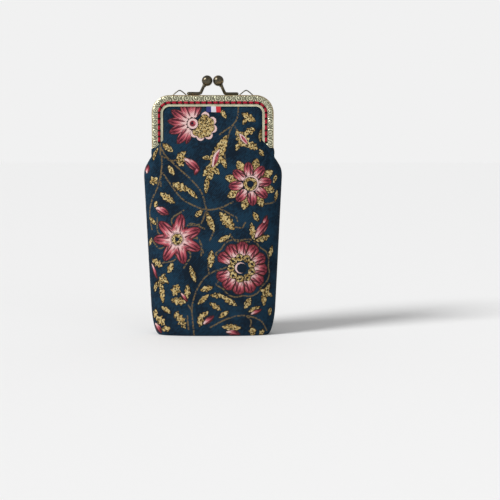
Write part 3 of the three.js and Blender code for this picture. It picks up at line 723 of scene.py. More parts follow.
def printed_twill(name, sizes, colours):
    """Navy twill printed with hatched red and gold flowers, dull, with a fine diagonal rib and painted
    shade along its ribs and between its threads.
    """
    f = Finish(name)
    flat = f.node("UVMap", {"uv_map": "OFBake"})
    u, v, _ = f.apart(flat)
    u, v = u * sizes[0], v * sizes[1]
    cloth = f.joined(u, v)
    fine = f.grain(cloth, 2.4, 3.0, 0.6)
    ragged = (f.grain(cloth, 1.5, 3.0, 0.6) - 0.5) * 1.5
    rib = (v - u).ripple(1.4)
    weft = (v + u).ripple(0.62)

    faded = f.grain(f.joined((u + v) * 0.3, (v - u) * 0.75), 1.0, 4.0, 0.6)
    faded = faded * 0.5 + f.grain(cloth, 0.06, 2.0) * 0.5
    ground = f.mix(faded.rise(0.4, 0.6), colours["navy"], colours["teal"])
    # Painted shade: the ground darkens along each diagonal rib.
    ground = f.mix(rib.rise(0.3, 0.8) * 0.62, ground, colours["ink"])

    stem = f.field("stem") + ragged * 0.22
    broken = f.grain(cloth, 0.8, 2.0).rise(0.4, 0.5)
    colour = f.mix(stem.rise(0.66, 0.42) * broken * 0.95, ground, colours["stem"])

    specks = f.cells(cloth, 0.88).rise(0.52, 0.42)
    lit = f.grain(cloth, 0.5, 2.0).rise(0.4, 0.6)
    leaf = f.mix(lit, colours["gold"], colours["straw"])
    leaf = f.mix(specks * 0.92, leaf, colours["bark"])

    def outlined(under, layer, shade, rim, line):
        inside = f.field(layer) + ragged * 0.5
        under = f.mix(inside.rise(-line, -line + 0.25), under, rim)
        return f.mix(inside.rise(-0.05, 0.2), under, shade)

    colour = outlined(colour, "gold", leaf, colours["bark"], 0.5)

    stroke = f.joined(f.field("stroke") * 0.85, f.field("run") * 1.2)
    hatch = f.grain(stroke, 1.3, 1.0)
    run = f.field("run") + (hatch - 0.5) * 1.3
    petal = f.mix(run.rise(0.02, 0.5), colours["blush"], colours["pink"])
    petal = f.mix(run.rise(0.4, 0.88), petal, colours["crimson"])
    strokes = f.grain(stroke, 1.0, 1.0)
    petal = f.mix((strokes + f.field("run") * 0.1).rise(0.56, 0.62) * 0.85, petal, colours["wine"])
    colour = outlined(colour, "red", petal, colours["rust"], 0.6)

    colour = outlined(colour, "pale", colours["blush"], colours["bark"], 0.35)
    blood = f.mix(strokes.rise(0.45, 0.55), colours["pink"], colours["crimson"])
    colour = f.mix((f.field("heart") + ragged * 0.4).rise(-0.1, 0.2), colour, blood)
    colour = outlined(colour, "over", leaf, colours["bark"], 0.35)
    colour = outlined(colour, "core", colours["navy"], colours["bark"], 0.3)

    # Painted shade between the threads of the weave.
    threads = rib * 0.6 + weft * 0.4
    colour = f.mix(threads.rise(0.85, 0.15) * 0.34, colour, colours["ink"])
    colour = f.mix(fine.rise(0.56, 0.72) * 0.05, colour, colours["lint"])
    return f.done(
        bump=[(threads, 0.4, 0.00014), (f.grain(cloth, 0.35, 3.0), 0.3, 0.0006)],
        Base_Color=colour,
        Roughness=0.95,
        Specular_IOR_Level=0.12,
    )


def plain_cloth(name, shade, shadow_colour, pitch):
    """Plain woven cloth: two crossing threads, with a little slub, and painted shade between the threads.
    """
    f = Finish(name)
    x, y, z = f.apart(f.place())
    weave = x.ripple(pitch) * (z + y).ripple(pitch)
    slub = f.grain(f.place(), 220.0, 3.0)
    # Painted shade between the threads, with random slub tone, darkens the cloth.
    colour = f.mix((weave * 0.6 + slub * 0.4).rise(0.1, 0.7), shadow_colour, shade)
    return f.done(
        bump=[(weave, 0.08, 0.0002)], Base_Color=colour, Roughness=0.9, Specular_IOR_Level=0.2
    )


def wadding_felt(name, shade, binding):
    """Off-white fibre wadding, with its side edges bound in the lining's colour."""
    f = Finish(name)
    fibres = f.grain(f.place(), 700.0, 5.0, 0.7)
    dark = tuple(0.6 * c for c in shade)
    colour = f.mix(fibres.rise(0.3, 0.7), dark, shade)
    colour = f.mix(f.field("bound"), colour, binding)
    return f.done(bump=[(fibres, 0.5, 0.0006)], Base_Color=colour, Roughness=1.0)


def antique_metal(name, bright, dull, edge, relief=True):
    """Old silver-bronze: dark in its hollows, bright on its ridges, and brassy where it is rubbed; the
    relief field's darkening is patina in the embossing and painted shade round the stitch holes and along
    the groove.
    """
    f = Finish(name)
    place = f.place()
    patchy = f.grain(place, 160.0, 4.0, 0.6)
    fine = f.grain(place, 1900.0, 3.0, 0.6)
    colour = f.mix(patchy.rise(0.3, 0.7) * 0.35, bright, dull)
    if relief:
        height = f.field("relief")
        # Darker where the relief field is low: patina in the embossing's hollows, and painted shade round
        # the stitch holes and along the groove
        patina_and_shade = (height + (patchy - 0.5) * 0.5).rise(0.62, 0.36) * 0.9
        colour = f.mix(patina_and_shade, colour, dull)
        colour = f.mix(f.field("rim") * patchy.rise(0.25, 0.6), colour, edge)
        rough = 0.36 + patina_and_shade * 0.36
    else:
        colour = f.mix(patchy.rise(0.5, 0.68) * 0.7, colour, edge)
        rough = 0.2 + patchy * 0.22
    return f.done(
        bump=[(fine, 0.12, 0.00006), (patchy, 0.1, 0.0002)],
        Base_Color=colour,
        Metallic=1.0,
        Roughness=rough,
    )


def red_thread(name, shade, shadow_colour):
    """Twisted crimson thread, with painted shade in its grooves and where it dips into the holes."""
    f = Finish(name)
    fibre = f.grain(f.place(), 3800.0, 3.0)
    # Painted shade: dark where the lift field is low, at the holes and between the plies; the fibre noise
    # adds random darker fibres
    dark = (1 - f.field("lift")).most(fibre.rise(0.45, 0.7) * 0.5)
    colour = f.mix(dark, shade, shadow_colour)
    return f.done(
        bump=[(fibre, 0.3, 0.00008)], Base_Color=colour, Roughness=0.7, Specular_IOR_Level=0.15
    )


def striped_ribbon(name, middle, width, colours):
    """Woven ribbon with three upright stripes and painted shade between its ribs."""
    f = Finish(name)
    x, _, z = f.apart(f.place())
    across = (x - middle) / width + (z - LABEL_HIGH[2] * MM) * 7.0
    colour = f.mix(across.rise(-0.185, -0.155), colours["blue"], colours["white"])
    colour = f.mix(across.rise(0.155, 0.185), colour, colours["scarlet"])
    ribs = z.ripple(0.00045)
    # Painted shade between the ribs of the weave.
    colour = f.mix(ribs * 0.18, colour, colours["ink"])
    return f.done(bump=[(ribs, 0.3, 0.00012)], Base_Color=colour, Roughness=0.7)


# ------------------------------------------------------------------------------------------------
# Frame, thread, clasp and small metal pieces
# ------------------------------------------------------------------------------------------------


def scroll_relief(way, inset):
    """Embossed band: a spiral in every cell, turning by turns each way, with arcs between them."""
    cell = 7.4
    number = np.floor(way / cell)
    hand = np.where(number % 2 == 0, 1.0, -1.0)
    dx = way - (number + 0.5) * cell
    dz = (inset - 2.3) * 1.05
    radius = np.hypot(dx, dz)
    turn = np.arctan2(dz * hand, dx)
    spiral = np.cos(turn - 2 * np.pi * radius / 1.5) * blend_in(radius, 3.3, 2.6)
    arcs = np.cos(2 * np.pi * (radius - 2.6) / 1.3) * blend_in(radius, 2.4, 3.0)
    leaf = np.cos(way * 1.9 + inset * 2.3 * hand) * np.cos(way * 0.85 - inset * 2.9) * 0.35
    return np.clip(0.5 + 0.42 * (spiral + arcs) + leaf * 0.5, 0, 1)


def frame_line(inset, foot, count=None, step=None):
    """Even places on a line along the frame at an inset, from one foot over the top to the other.

    Returns the places, the directions inwards, the way along, and how near its foot each place is,
    from 1 at the foot to 0 where the leg ends and the corner begins.
    """
    radius = FRAME_CORNER - inset
    leg = FRAME_TOP - FRAME_CORNER - foot
    arc = radius * np.pi / 2
    length = 2 * leg + 2 * arc + 2 * (FRAME_HALF - FRAME_CORNER)
    way = np.linspace(0, length, count or int(length / step))
    near = np.minimum(way, length - way)
    side = np.where(way < length / 2, -1.0, 1.0)
    turn = np.clip((near - leg) / radius, 0, np.pi / 2)
    flat = np.maximum(near - leg - arc, 0)
    x = FRAME_HALF - FRAME_CORNER + radius * np.cos(turn) - flat
    z = foot + np.minimum(near, leg) + radius * np.sin(turn)
    return x * side, z, -np.cos(turn) * side, -np.sin(turn), way, np.clip(1 - near / leg, 0, 1)


def stitch_places(count):
    """Even places along the sewing line."""
    return frame_line(STITCH_INSET, STITCH_FOOT, count)[:2]


def channel_section():
    """Outside of the channel's section, from the inner lip round the web to the outer lip."""
    inner = [(7.0, 0.2), (5.0, 0.2), (3.0, 0.2), (1.2, 0.2), (0.5, 0.25), (0.12, 0.5), (0.0, 0.9)]
    web = [(0.0, 1.8), (0.0, 2.7), (0.0, 3.6), (0.02, 4.2), (0.14, 4.7), (0.42, 5.1)]
    t = np.linspace(0, 1, 26)[1:]
    band = np.stack([0.42 + 3.9 * t, 5.1 + 0.55 * np.sin(np.pi * t**0.9) + 0.1 * t], axis=1)
    lip = [(4.62, 5.06), (4.95, 4.96), (5.3, 4.93), (5.7, 4.97), (6.05, 5.1), (6.4, 5.2)]
    edge = [(7.0, 5.22), (7.6, 5.2), (7.9, 5.12), (8.0, 4.9), (8.0, 4.6)]
    return np.vstack([inner, web, band, lip, edge])


def frame_shape():
    """The channel's section carried round its edge, embossed on its band and dimpled at its holes."""
    x, z, in_x, in_z, way, low = (part[:, None] for part in frame_line(0, LEG_FOOT, step=0.3))
    inset, depth = channel_section().T[:, None, :]
    on_leaf = depth > 4.5
    on_band = blend_in(inset, 0.3, 0.9) * blend_in(inset, 4.3, 3.7) * on_leaf
    relief = scroll_relief(way, inset)
    lifted = depth + on_band * (relief - 0.6) * 0.27
    drop = low * np.maximum(inset - FOOT_FLAT, 0)

    def ring(inset, depth):
        places = np.broadcast_arrays(x + in_x * inset, -depth, z + in_z * inset + drop)
        return np.stack(places, axis=-1)

    outside = ring(inset, lifted)
    hole_x, hole_z = stitch_places(STITCHES + 1)
    away = np.min(np.hypot(outside[..., 0, None] - hole_x, outside[..., 2, None] - hole_z), axis=-1)
    outside[..., 1] += 1.0 * np.exp(-((away / 0.75) ** 4)) * on_leaf
    inside = ring(np.maximum(inset, SHEET), np.clip(depth, CLOSING_GAP + SHEET, LEAF_FACE - SHEET))
    rings = np.concatenate([outside, inside[:, ::-1]], axis=1)
    rows, columns = rings.shape[:2]
    k = np.arange(columns // 2 - 1)
    cap = np.stack([k, k + 1, columns - 2 - k, columns - 1 - k], axis=1)
    caps = np.vstack([cap[:, ::-1], cap + (rows - 1) * columns])
    shape = Shape()
    shape.add(*outwards(rings.reshape(-1, 3), grid_faces(rows, columns, True), caps))
    for outer, side in [(True, -1), (False, 1)]:
        shape.add(*lug_plate(outer, side))

    # How raised and how rubbed each point looks: hollows of the embossing are darker as patina, the closing
    # face and the channel's inside faces are darker, and the darkening round the stitch holes and along the
    # stitch groove is painted shade
    plain = np.where(depth < 1.0, 0.45, 0.85)
    lines = np.where(on_band > 0.05, relief * on_band + (1 - on_band) * 0.7, plain)
    # Painted shade round each stitch hole and along the stitch groove, where the thread lies
    patina_and_shade = np.exp(-((away / 0.9) ** 2)) * on_leaf
    groove = np.exp(-(((inset - STITCH_INSET) / 0.5) ** 2)) * on_leaf
    lines = lines * (1 - patina_and_shade) * (1 - 0.5 * groove)
    worn = blend_in(inset, 1.0, 0.2) * (0.25 + 0.75 * (depth > 4.0)) + 0 * lines
    lugs = shape.count - rows * columns
    fields = {}
    for key, out, inner, on_lugs in [("relief", lines, 0.2, 0.7), ("rim", worn, 0.0, 0.3)]:
        values = np.concatenate([out, np.full_like(out, inner)], axis=1)
        fields[key] = np.concatenate([values.ravel(), np.full(lugs, on_lugs)])
    return shape, fields


def lug_plate(outer, side):
    """Round lug at the foot of a leg with its neck up to the channel, as a plate across X."""
    start = FRAME_HALF - (SHEET if outer else 2 * SHEET + 0.3)
    radius, neck_top, bevel = 3.0, 4.6, 0.06
    turn = np.radians(np.linspace(105, 380, 30))[::-1]
    disc = np.stack([-radius * np.cos(turn), radius * np.sin(turn)], axis=1)
    middle = np.array([-1.2, 1.0])
    spokes = np.vstack([[(-4.4, neck_top), (-0.7, neck_top)], disc]) - middle
    spokes = spokes[np.argsort(np.arctan2(spokes[:, 1], spokes[:, 0]))]
    rings = []
    for way, grow in [(0, 0.94), (bevel, 1.0), (SHEET - bevel, 1.0), (SHEET, 0.94)]:
        level = np.full(len(spokes), side * (start + way))
        rings.append(np.column_stack([level, middle + spokes * grow]))
    rings = np.stack(rings) + [0, 0, HINGE]
    centre = rings.mean(axis=1)
    return outwards(*closed_rings(rings, centre[0], centre[-1]))


def stitching_shape():
    """One twisted stitch from hole to hole: two plies wound round an arched line."""
    sides, turns = 14, 1.4
    t = np.linspace(0, 1, STITCH_STEPS)
    fine_x, fine_z = stitch_places(STITCHES * (STITCH_STEPS - 1) + 1)
    index = np.arange(STITCHES)[:, None] * (STITCH_STEPS - 1) + np.arange(STITCH_STEPS)
    lift = np.sqrt(np.clip(1 - np.abs(2 * t - 1) ** 5, 0, 1))
    arch = -(LEAF_FACE - 0.55 + 0.85 * lift)
    centre = np.stack(np.broadcast_arrays(fine_x[index], arch, fine_z[index]), axis=-1)
    along = np.gradient(centre, axis=1)
    along /= np.linalg.norm(along, axis=2, keepdims=True)
    side = np.cross(along, FORE_AFT)
    side /= np.linalg.norm(side, axis=2, keepdims=True)
    turn = np.linspace(0, 2 * np.pi, sides, endpoint=False)
    plies = np.cos(2 * (turn - 2 * np.pi * turns * t[:, None]))
    radius = 0.66 * (1 + 0.16 * plies) * (0.6 + 0.4 * lift[:, None])
    rings = centre[:, :, None] + radius[..., None] * circle(side, np.cross(side, along), sides)
    shape = Shape()
    for stitch, middle in zip(rings, centre):
        shape.add(*outwards(*closed_rings(stitch, middle[0], middle[-1])))
    # Painted shade carried in the lift field: dark where the stitch dips into its holes, and darker between
    # the plies
    shown = blend_in(np.sin(np.pi * t), 0.3, 0.78)
    shade = shown[:, None] * ((0.5 + 0.5 * plies) * 0.6 + 0.4)
    shade = np.concatenate([shade.ravel(), [0.0, 0.0]])  # the last two are the stitch's end points
    return shape, {"lift": np.tile(shade, STITCHES)}


def clasp_line():
    """Middle line of a clasp stem, from the end of its foot to inside its ball."""
    y = -(CLOSING_GAP + 2.5)
    ball = (BALL_LOW + BALL_HIGH) / 2
    height = FRAME_TOP + 1.15
    neck = ball + [-2.6, -0.7, -4.4]
    foot = [(-18.0, y, height), (-14.0, y, height), (-10.4, y, height)]
    points = [*foot, (-8.6, y, height + 0.35), (-7.7, y * 0.8, height + 1.8)]
    return spline([*points, neck, ball + [-1.2, -0.2, -2.0]], 90)


def clasp_stem_shape():
    """A round wire, flat and wide along its foot and a little thicker at its bend."""
    path = clasp_line()
    ends = np.sqrt(np.clip(1 - np.linspace(1, -14, len(path)).clip(0, 1) ** 2, 0, 1))
    radius = (1.15 - 0.1 * np.linspace(0, 1, len(path))) * (0.25 + 0.75 * ends)
    points, *faces = tube(path, radius, 24)
    points[:, 2] = np.maximum(points[:, 2], FRAME_TOP + 0.08)
    return Shape().add(points, *faces), {}


def clasp_ball_shape():
    """A sphere with a small collar where its stem comes in."""
    ball = (BALL_LOW + BALL_HIGH) / 2
    radius = (BALL_HIGH[0] - BALL_LOW[0]) / 2
    t = np.linspace(0, np.pi, 42)[1:-1]
    way, out = -radius * np.cos(t), radius * np.sin(t)
    axis = np.array([2.6, 0.7, 4.4])
    axis = axis / np.linalg.norm(axis)
    collar = np.array([(-0.75, 1.12), (-0.7, 1.35), (-0.35, 1.4), (0.1, 1.32)]) - [radius, 0]
    keep = way > -radius + 0.32
    profile = np.vstack([collar, np.stack([way, out], axis=1)[keep]])
    return Shape().add(*turned(profile, ball, axis, 48, 0.01)), {}


def loop_shape(low, high):
    """A gable of thin wire, bent round at its top, with both feet in the channel."""
    wire = 0.4
    middle = (low[0] + high[0]) / 2
    half = (high[0] - low[0]) / 2 - wire
    y = (low[1] + high[1]) / 2
    top = high[2] - wire
    leg = [(half, FRAME_TOP - 1.0), (half, FRAME_TOP + 0.2), (half * 0.5, (FRAME_TOP + top) / 2 + 0.5)]
    outline = [*[(-x, z) for x, z in leg], (0, top), *leg[::-1]]
    path = spline([(middle + x, y, z) for x, z in outline], 70)
    return Shape().add(*tube(path, wire, 12))


def rivet_shape(side):
    """Hinge rivet with a domed head outside and a flat one inside."""
    low, high = box_mm("right_hinge_rivet")
    inner, outer = low[0], high[0]
    t = np.linspace(0, np.pi / 2, 9)
    dome = [(outer - 0.45 + 0.45 * math.sin(a), 2.1 * math.cos(a) + 0.001) for a in t]
    flat = [(0.0, 1.6), (0.1, 1.95), (0.3, 2.1), (0.45, 2.1), (0.46, 1.0)]
    profile = [*[(inner + way, radius) for way, radius in flat], (outer - 0.46, 1.0), *dome]
    axis = np.array([1.0, 0.0, 0.0])
    return Shape().add(*turned(profile, np.array([0.0, 0.0, HINGE]), axis, 40)).facing(side)


def label_shape():
    """A folded ribbon: two plies that meet in a soft fold at their foot."""
    left, right = LABEL_LOW[0], LABEL_HIGH[0]
    top, foot = LIP_TOP + 0.5, LIP_TOP - 4.0
    t = np.linspace(0, 1, 40)
    turn = np.clip((t - 0.42) / 0.16, 0, 1) * np.pi
    drop = np.where(t < 0.42, t / 0.42, np.where(t > 0.58, (1 - t) / 0.42, 1.0))
    z = top - (top - foot - 0.4) * drop - 0.4 * np.sin(turn)
    thick = 0.28 * np.cos(turn)
    x = np.linspace(left, right, 30)
    curl = 0.25 * np.sin((x - left) / (right - left) * 5.0)
    face = np.maximum(mouth_depth(x[None, :], z[:, None]) + 0.4, 4.85)
    y = -(face + thick[:, None] + curl[None, :] * drop[:, None] ** 2)
    slant = 0.036 * (top - z)
    points = np.stack(np.broadcast_arrays(x + slant[:, None], y, z[:, None]), axis=-1)
    return Shape().add(points, grid_faces(*points.shape[:2]))


# ------------------------------------------------------------------------------------------------
# Settings
# ------------------------------------------------------------------------------------------------


def colour_property(name, description, *display):
    return FloatVectorProperty(
        name=name, description=description, default=srgb(*display), subtype="COLOR", min=0, max=1
    )


class CaseSizes(bpy.types.PropertyGroup):
    """Sizes of the cloth and of the grain of its mesh."""

    cloth_step: FloatProperty(
        name="Cloth Step", description="Distance between points of the outer cloth",
        default=0.52 * MM, min=0.3 * MM, unit="LENGTH",
    )
    lining_step: FloatProperty(
        name="Lining Step", description="Distance between points of the lining",
        default=1.0 * MM, min=0.5 * MM, unit="LENGTH",
    )
    seam_radius: FloatProperty(
        name="Seam Radius", description="Radius of the welt between the two panels",
        default=0.75 * MM, min=0.2 * MM, unit="LENGTH",
    )
    camera_lens: FloatProperty(
        name="Lens", description="Focal length of the camera", default=85.0, min=20.0, unit="CAMERA"
    )
    camera_tilt: FloatProperty(
        name="Tilt", description="How far the camera looks down", default=math.radians(5.0),
        subtype="ANGLE",
    )


class CaseColours(bpy.types.PropertyGroup):
    """Colours of the print, the metal and the trim."""

    navy: colour_property("Navy", "Ground of the print", 18, 34, 48)
    teal: colour_property("Teal", "Faded parts of the ground", 29, 64, 87)
    # Painted shade between threads of the twill, lining, seam and ribbon
    ink: colour_property("Ink", "Shadow between threads", 8, 13, 22)
    stem: colour_property("Stem", "Stems and petal outlines", 112, 94, 64)
    gold: colour_property("Gold", "Leaves", 166, 136, 80)
    straw: colour_property("Straw", "Light parts of leaves", 210, 188, 134)
    bark: colour_property("Bark", "Specks and outlines of leaves", 26, 20, 14)
    blush: colour_property("Blush", "Roots of petals", 228, 194, 190)
    pink: colour_property("Pink", "Middles of petals", 194, 96, 106)
    crimson: colour_property("Crimson", "Tips of petals", 126, 50, 60)
    rust: colour_property("Rust", "Outlines of petals", 58, 34, 28)
    wine: colour_property("Wine", "Strokes on petals", 50, 22, 32)
    lint: colour_property("Lint", "Light fibres", 90, 98, 102)
    lining: colour_property("Lining", "Lining cloth", 30, 34, 48)
    wadding: colour_property("Wadding", "Wadding", 226, 222, 210)
    silver: colour_property("Silver", "Raised parts of the frame", 230, 228, 196)
    tarnish: colour_property("Tarnish", "Hollows of the frame", 82, 80, 68)
    brass: colour_property("Brass", "Rubbed edges", 186, 150, 92)
    bronze: colour_property("Bronze", "Clasp", 96, 90, 76)
    gunmetal: colour_property("Gunmetal", "Dark parts of the clasp", 26, 25, 24)
    thread: colour_property("Thread", "Sewing thread", 188, 20, 54)
    # Painted shade in the thread's grooves and holes
    thread_deep: colour_property("Thread Shadow", "Hollows of the thread", 14, 4, 8)
    blue: colour_property("Blue", "First stripe of the label", 22, 30, 104)
    white: colour_property("White", "Middle stripe of the label", 206, 202, 210)
    scarlet: colour_property("Scarlet", "Last stripe of the label", 190, 18, 34)
    paper: colour_property("Paper", "Floor", 240, 240, 240)


def colours():
    """The scene's colours by name."""
    group = bpy.context.scene.case_colours
    return {key: tuple(getattr(group, key)) for key in CaseColours.__annotations__}


def finished(piece, material, body, nodes):
    """Gives a piece its material, its body and the CAD nodes that it stands for."""
    piece.data.materials.append(material)
    if body:
        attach(piece, body)
    if nodes:
        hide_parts(*nodes)
    return piece


def both_halves(material, slot, *pieces):
    """Rigid pieces on both halves of the frame, each as a name, a CAD node's name and a maker."""
    for end, side in ENDS:
        for name, node, make in pieces:
            shape, fields = make()
            piece = shape.facing(side).object(f"{end}_{name}", fields)
            finished(piece, material, end + "_half", [f"{end}_{node}"])


def welt(name, half, z, radius, sides):
    """A round welt down one side, across the base and up the other side."""
    side = np.stack([half, 0 * z, z], axis=1)
    path = np.vstack([side[::-1] * [-1, 1, 1], side])
    return Shape().add(*tube(path, radius, sides)).object(name)


def material_once(name, make, *arguments):
    """The material of that name, made the first time it is asked for."""
    return bpy.data.materials.get(name) or make(name, *arguments)


# ------------------------------------------------------------------------------------------------
# Operators
# ------------------------------------------------------------------------------------------------

ENDS = [("front", 1), ("rear", -1)]


def bend(piece):
    """Bakes the piece's placement into its mesh."""
    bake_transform(piece)


class CASE_OT_outer_cloth(bpy.types.Operator):
    """Front and rear outer panels of printed twill, each one cloth from the base to the channel"""

    bl_idname = "case.outer_cloth"
    bl_label = "Outer Cloth"

    def execute(self, context):
        step = context.scene.case_sizes.cloth_step / MM
        points, across, up = panel(0.0, 0.0, step)
        points = crumple(points)
        flat = (across.max() - across.min() + 2, up.max() - up.min() + 2)
        uv = np.stack([across / flat[0] + 0.5, (up - up.min() + 1) / flat[1]], axis=-1)
        for end, side in ENDS:
            print_up = up if side > 0 else up.max() + up.min() + 8 - up
            layers = printed(across * side, print_up)
            shape = Shape().add(points, grid_faces(*points.shape[:2])).facing(side)
            piece = shape.object(end + "_outer_cloth", layers, uv)
            material = material_once("printed_twill", printed_twill, flat, colours())
            finished(piece, material, None, [end + "_outer_panel", end + "_mouth_panel"])
            bend(piece)
            flat[0] * MM
            flat[1] * MM
        return {"FINISHED"}


class CASE_OT_wadding(bpy.types.Operator):
    """Front and rear wadding between the outer cloth and the lining"""

    bl_idname = "case.wadding"
    bl_label = "Wadding"

    def execute(self, context):
        step = 1.6 * context.scene.case_sizes.lining_step / MM
        points, across, _ = panel(1.6, 1.1, step)
        from_side = across.max(axis=1, keepdims=True) - np.abs(across)
        bound = {"bound": blend_in(from_side, 7.5, 6.0)}
        c = colours()
        material = material_once("wadding_felt", wadding_felt, c["wadding"], c["lining"])
        for end, side in ENDS:
            shape = Shape().add(points, grid_faces(*points.shape[:2])).facing(side)
            piece = shape.object(end + "_wadding", bound)
            finished(piece, material, None, [end + "_padding", end + "_mouth_padding"])
            thick = piece.modifiers.new("Thickness", "SOLIDIFY")
            thick.thickness = 1.0 * MM
            thick.offset = -1.0
            bend(piece)
        return {"FINISHED"}


class CASE_OT_lining(bpy.types.Operator):
    """Front and rear lining, and the seam that joins them"""

    bl_idname = "case.lining"
    bl_label = "Lining"

    def execute(self, context):
        step = context.scene.case_sizes.lining_step / MM
        points, across, up = panel(3.4, 2.6, step)
        c = colours()
        material = material_once("lining_cloth", plain_cloth, c["lining"], c["ink"], 0.00043)
        flat = (across.max() - across.min(), up.max() - up.min())
        for end, side in ENDS:
            shape = Shape().add(points, grid_faces(*points.shape[:2])[:, ::-1]).facing(side)
            piece = shape.object(end + "_lining_cloth")
            finished(piece, material, None, [end + "_lining", end + "_mouth_lining"])
            bend(piece)
            flat[0] * MM
            flat[1] * MM
        z = np.linspace(5, HINGE - 12, 60)
        piece = welt("lining_welt", half_width(z) - 4.1, z, 0.5, 8)
        finished(piece, material, "pouch", ["lining_seam"])
        return {"FINISHED"}


class CASE_OT_seam(bpy.types.Operator):
    """Welt where the two outer panels are sewn together, round the sides and across the base"""

    bl_idname = "case.seam"
    bl_label = "Outer Seam"

    def execute(self, context):
        radius = context.scene.case_sizes.seam_radius / MM
        corner = BASE_CORNER[1]
        low = corner * (1 - np.cos(np.linspace(0.12, np.pi / 2, 40)))
        z = np.concatenate([low, np.linspace(corner + 0.5, HINGE - 8, 120)])
        c = colours()
        material = material_once("seam_cloth", plain_cloth, c["navy"], c["ink"], 0.0006)
        half = half_width(z) - radius * 0.7
        piece = welt("outer_welt", half, np.maximum(z, radius + 0.05), radius, 12)
        finished(piece, material, "pouch", ["outer_seam"])
        return {"FINISHED"}


class CASE_OT_frame(bpy.types.Operator):
    """Embossed front and rear channels of the sewn frame"""

    bl_idname = "case.frame"
    bl_label = "Frame"

    def execute(self, context):
        c = colours()
        material = material_once("antique_frame", antique_metal, c["silver"], c["tarnish"], c["brass"])
        both_halves(material, "frame", ("channel", "frame", frame_shape))
        return {"FINISHED"}


class CASE_OT_stitching(bpy.types.Operator):
    """Crimson backstitch along the groove of each channel"""

    bl_idname = "case.stitching"
    bl_label = "Stitching"

    def execute(self, context):
        c = colours()
        material = material_once("crimson_thread", red_thread, c["thread"], c["thread_deep"])
        both_halves(material, "thread", ("stitching", "frame_stitching", stitching_shape))
        return {"FINISHED"}


def clasp_bronze():
    """The metal of the clasp and of the rivets."""
    c = colours()
    shades = (c["bronze"], c["gunmetal"], c["brass"])
    return material_once("clasp_bronze", antique_metal, *shades, False)


class CASE_OT_clasp(bpy.types.Operator):
    """Two clasp balls on their bent stems"""

    bl_idname = "case.clasp"
    bl_label = "Clasp"

    def execute(self, context):
        stem = ("stem", "clasp_stem", clasp_stem_shape)
        both_halves(clasp_bronze(), "clasp", stem, ("ball", "clasp_ball", clasp_ball_shape))
        return {"FINISHED"}


class CASE_OT_small_metal(bpy.types.Operator):
    """Hinge rivets and the two wire loops for a chain"""

    bl_idname = "case.small_metal"
    bl_label = "Rivets and Loops"

    def execute(self, context):
        c = colours()
        bronze = clasp_bronze()
        wire = material_once("loop_wire", antique_metal, c["bronze"], c["tarnish"], c["gunmetal"], False)
        for name, side in [("left", -1), ("right", 1)]:
            piece = rivet_shape(side).object(name + "_rivet")
            finished(piece, bronze, "pouch", [name + "_hinge_rivet"])
            node = name + "_chain_loop"
            piece = loop_shape(*box_mm(node)).object(name + "_loop")
            finished(piece, wire, "rear_half", [node])
        return {"FINISHED"}


class CASE_OT_label(bpy.types.Operator):
    """Folded ribbon with three stripes under the front lip"""

    bl_idname = "case.label"
    bl_label = "Ribbon Label"

    def execute(self, context):
        middle = (LABEL_LOW[0] + LABEL_HIGH[0]) / 2 * MM
        width = (LABEL_HIGH[0] - LABEL_LOW[0]) * MM
        material = striped_ribbon("striped_ribbon", middle, width, colours())
        piece = label_shape().object("striped_label")
        finished(piece, material, "front_half", ["ribbon_label"])
        return {"FINISHED"}


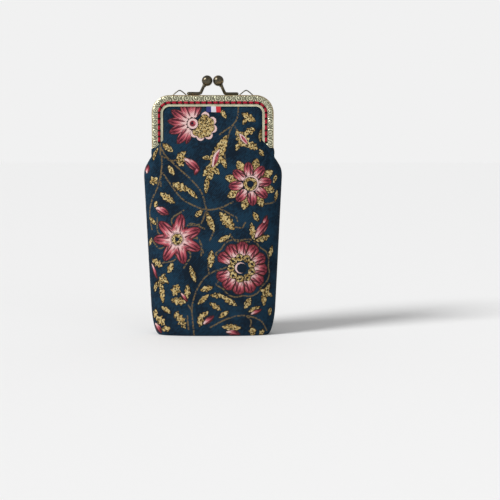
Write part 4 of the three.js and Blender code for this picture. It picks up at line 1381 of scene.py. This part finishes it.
class CASE_OT_stage(bpy.types.Operator):
    """Pale seamless floor, soft studio light and the camera"""

    bl_idname = "case.stage"
    bl_label = "Stage"

    def execute(self, context):
        scene = context.scene
        paper = Finish("pale_paper")
        material = paper.done(Base_Color=colours()["paper"], Roughness=0.9, Specular_IOR_Level=0.1)
        way = np.linspace(-9, 9, 7)
        sheet = np.stack(np.broadcast_arrays(way[None, :], way[:, None], 0.0), axis=-1)
        floor = Shape().add(sheet / MM, grid_faces(*sheet.shape[:2])).object("floor")
        floor.data.materials.append(material)

        scene.world = scene.world or bpy.data.worlds.new("World")
        world = Finish("World", scene.world)
        white = (1.0, 1.0, 1.0)
        lighting = world.node("Background", None, {0: white, 1: 0.45})
        seen = world.node("Background", None, {0: white, 1: 0.88})
        by_camera = world.node("LightPath")
        either = world.node("MixShader", None, {0: by_camera, 1: lighting, 2: seen})
        world.node("OutputWorld", None, {0: either})

        lamps = [
            ("key", "SUN", (-1.75, -1.15, 1.6), 3.0),
            ("fill", "AREA", (0.9, -1.2, 0.5), 1.5),
        ]
        aim = np.array([0.0, 0.0, 0.09])
        for name, kind, place, power in lamps:
            data = bpy.data.lights.new(name, kind)
            if kind == "SUN":
                data.angle = math.radians(20)
            else:
                data.size = 0.9
            data.energy = power
            lamp = bpy.data.objects.new(name, data)
            scene.collection.objects.link(lamp)
            lamp.location = place
            direction = Vector(aim - np.array(place))
            lamp.rotation_euler = direction.to_track_quat("-Z", "Y").to_euler()

        sizes = scene.case_sizes
        data = bpy.data.cameras.new("camera")
        data.lens = sizes.camera_lens
        data.sensor_width = 36.0
        camera = bpy.data.objects.new("camera", data)
        scene.collection.objects.link(camera)
        across = 0.350  # what the picture takes in at the case, in metres
        distance = across * data.lens / data.sensor_width
        target = np.array([0.026, -0.008, 0.0602])
        tilt = sizes.camera_tilt
        camera.location = target + distance * np.array([0, -math.cos(tilt), math.sin(tilt)])
        camera.rotation_euler = (math.pi / 2 - tilt, 0, 0)
        scene.camera = camera
        scene.view_settings.view_transform = "Standard"
        return {"FINISHED"}


STEPS = [
    CASE_OT_wadding, CASE_OT_outer_cloth, CASE_OT_lining, CASE_OT_seam, CASE_OT_frame,
    CASE_OT_stitching, CASE_OT_clasp, CASE_OT_small_metal, CASE_OT_label, CASE_OT_stage,
]


class CASE_PT_panel(bpy.types.Panel):
    """The case's sizes, colours and steps, in the sidebar"""

    bl_label = "Glasses Case"
    bl_space_type = "VIEW_3D"
    bl_region_type = "UI"
    bl_category = "Glasses Case"

    def draw(self, context):
        for group in (context.scene.case_sizes, context.scene.case_colours):
            for key in type(group).__annotations__:
                self.layout.prop(group, key)
        for step in STEPS:
            self.layout.operator(step.bl_idname)


CLASSES = [CaseSizes, CaseColours, *STEPS, CASE_PT_panel]


def register():
    for cls in CLASSES:
        bpy.utils.register_class(cls)
    bpy.types.Scene.case_sizes = PointerProperty(type=CaseSizes)
    bpy.types.Scene.case_colours = PointerProperty(type=CaseColours)


def unregister():
    del bpy.types.Scene.case_colours
    del bpy.types.Scene.case_sizes
    for cls in reversed(CLASSES):
        bpy.utils.unregister_class(cls)


def main():
    register()
    for step in STEPS:
        group, name = step.bl_idname.split(".")
        getattr(getattr(bpy.ops, group), name)()


if __name__ == "__main__":
    main()
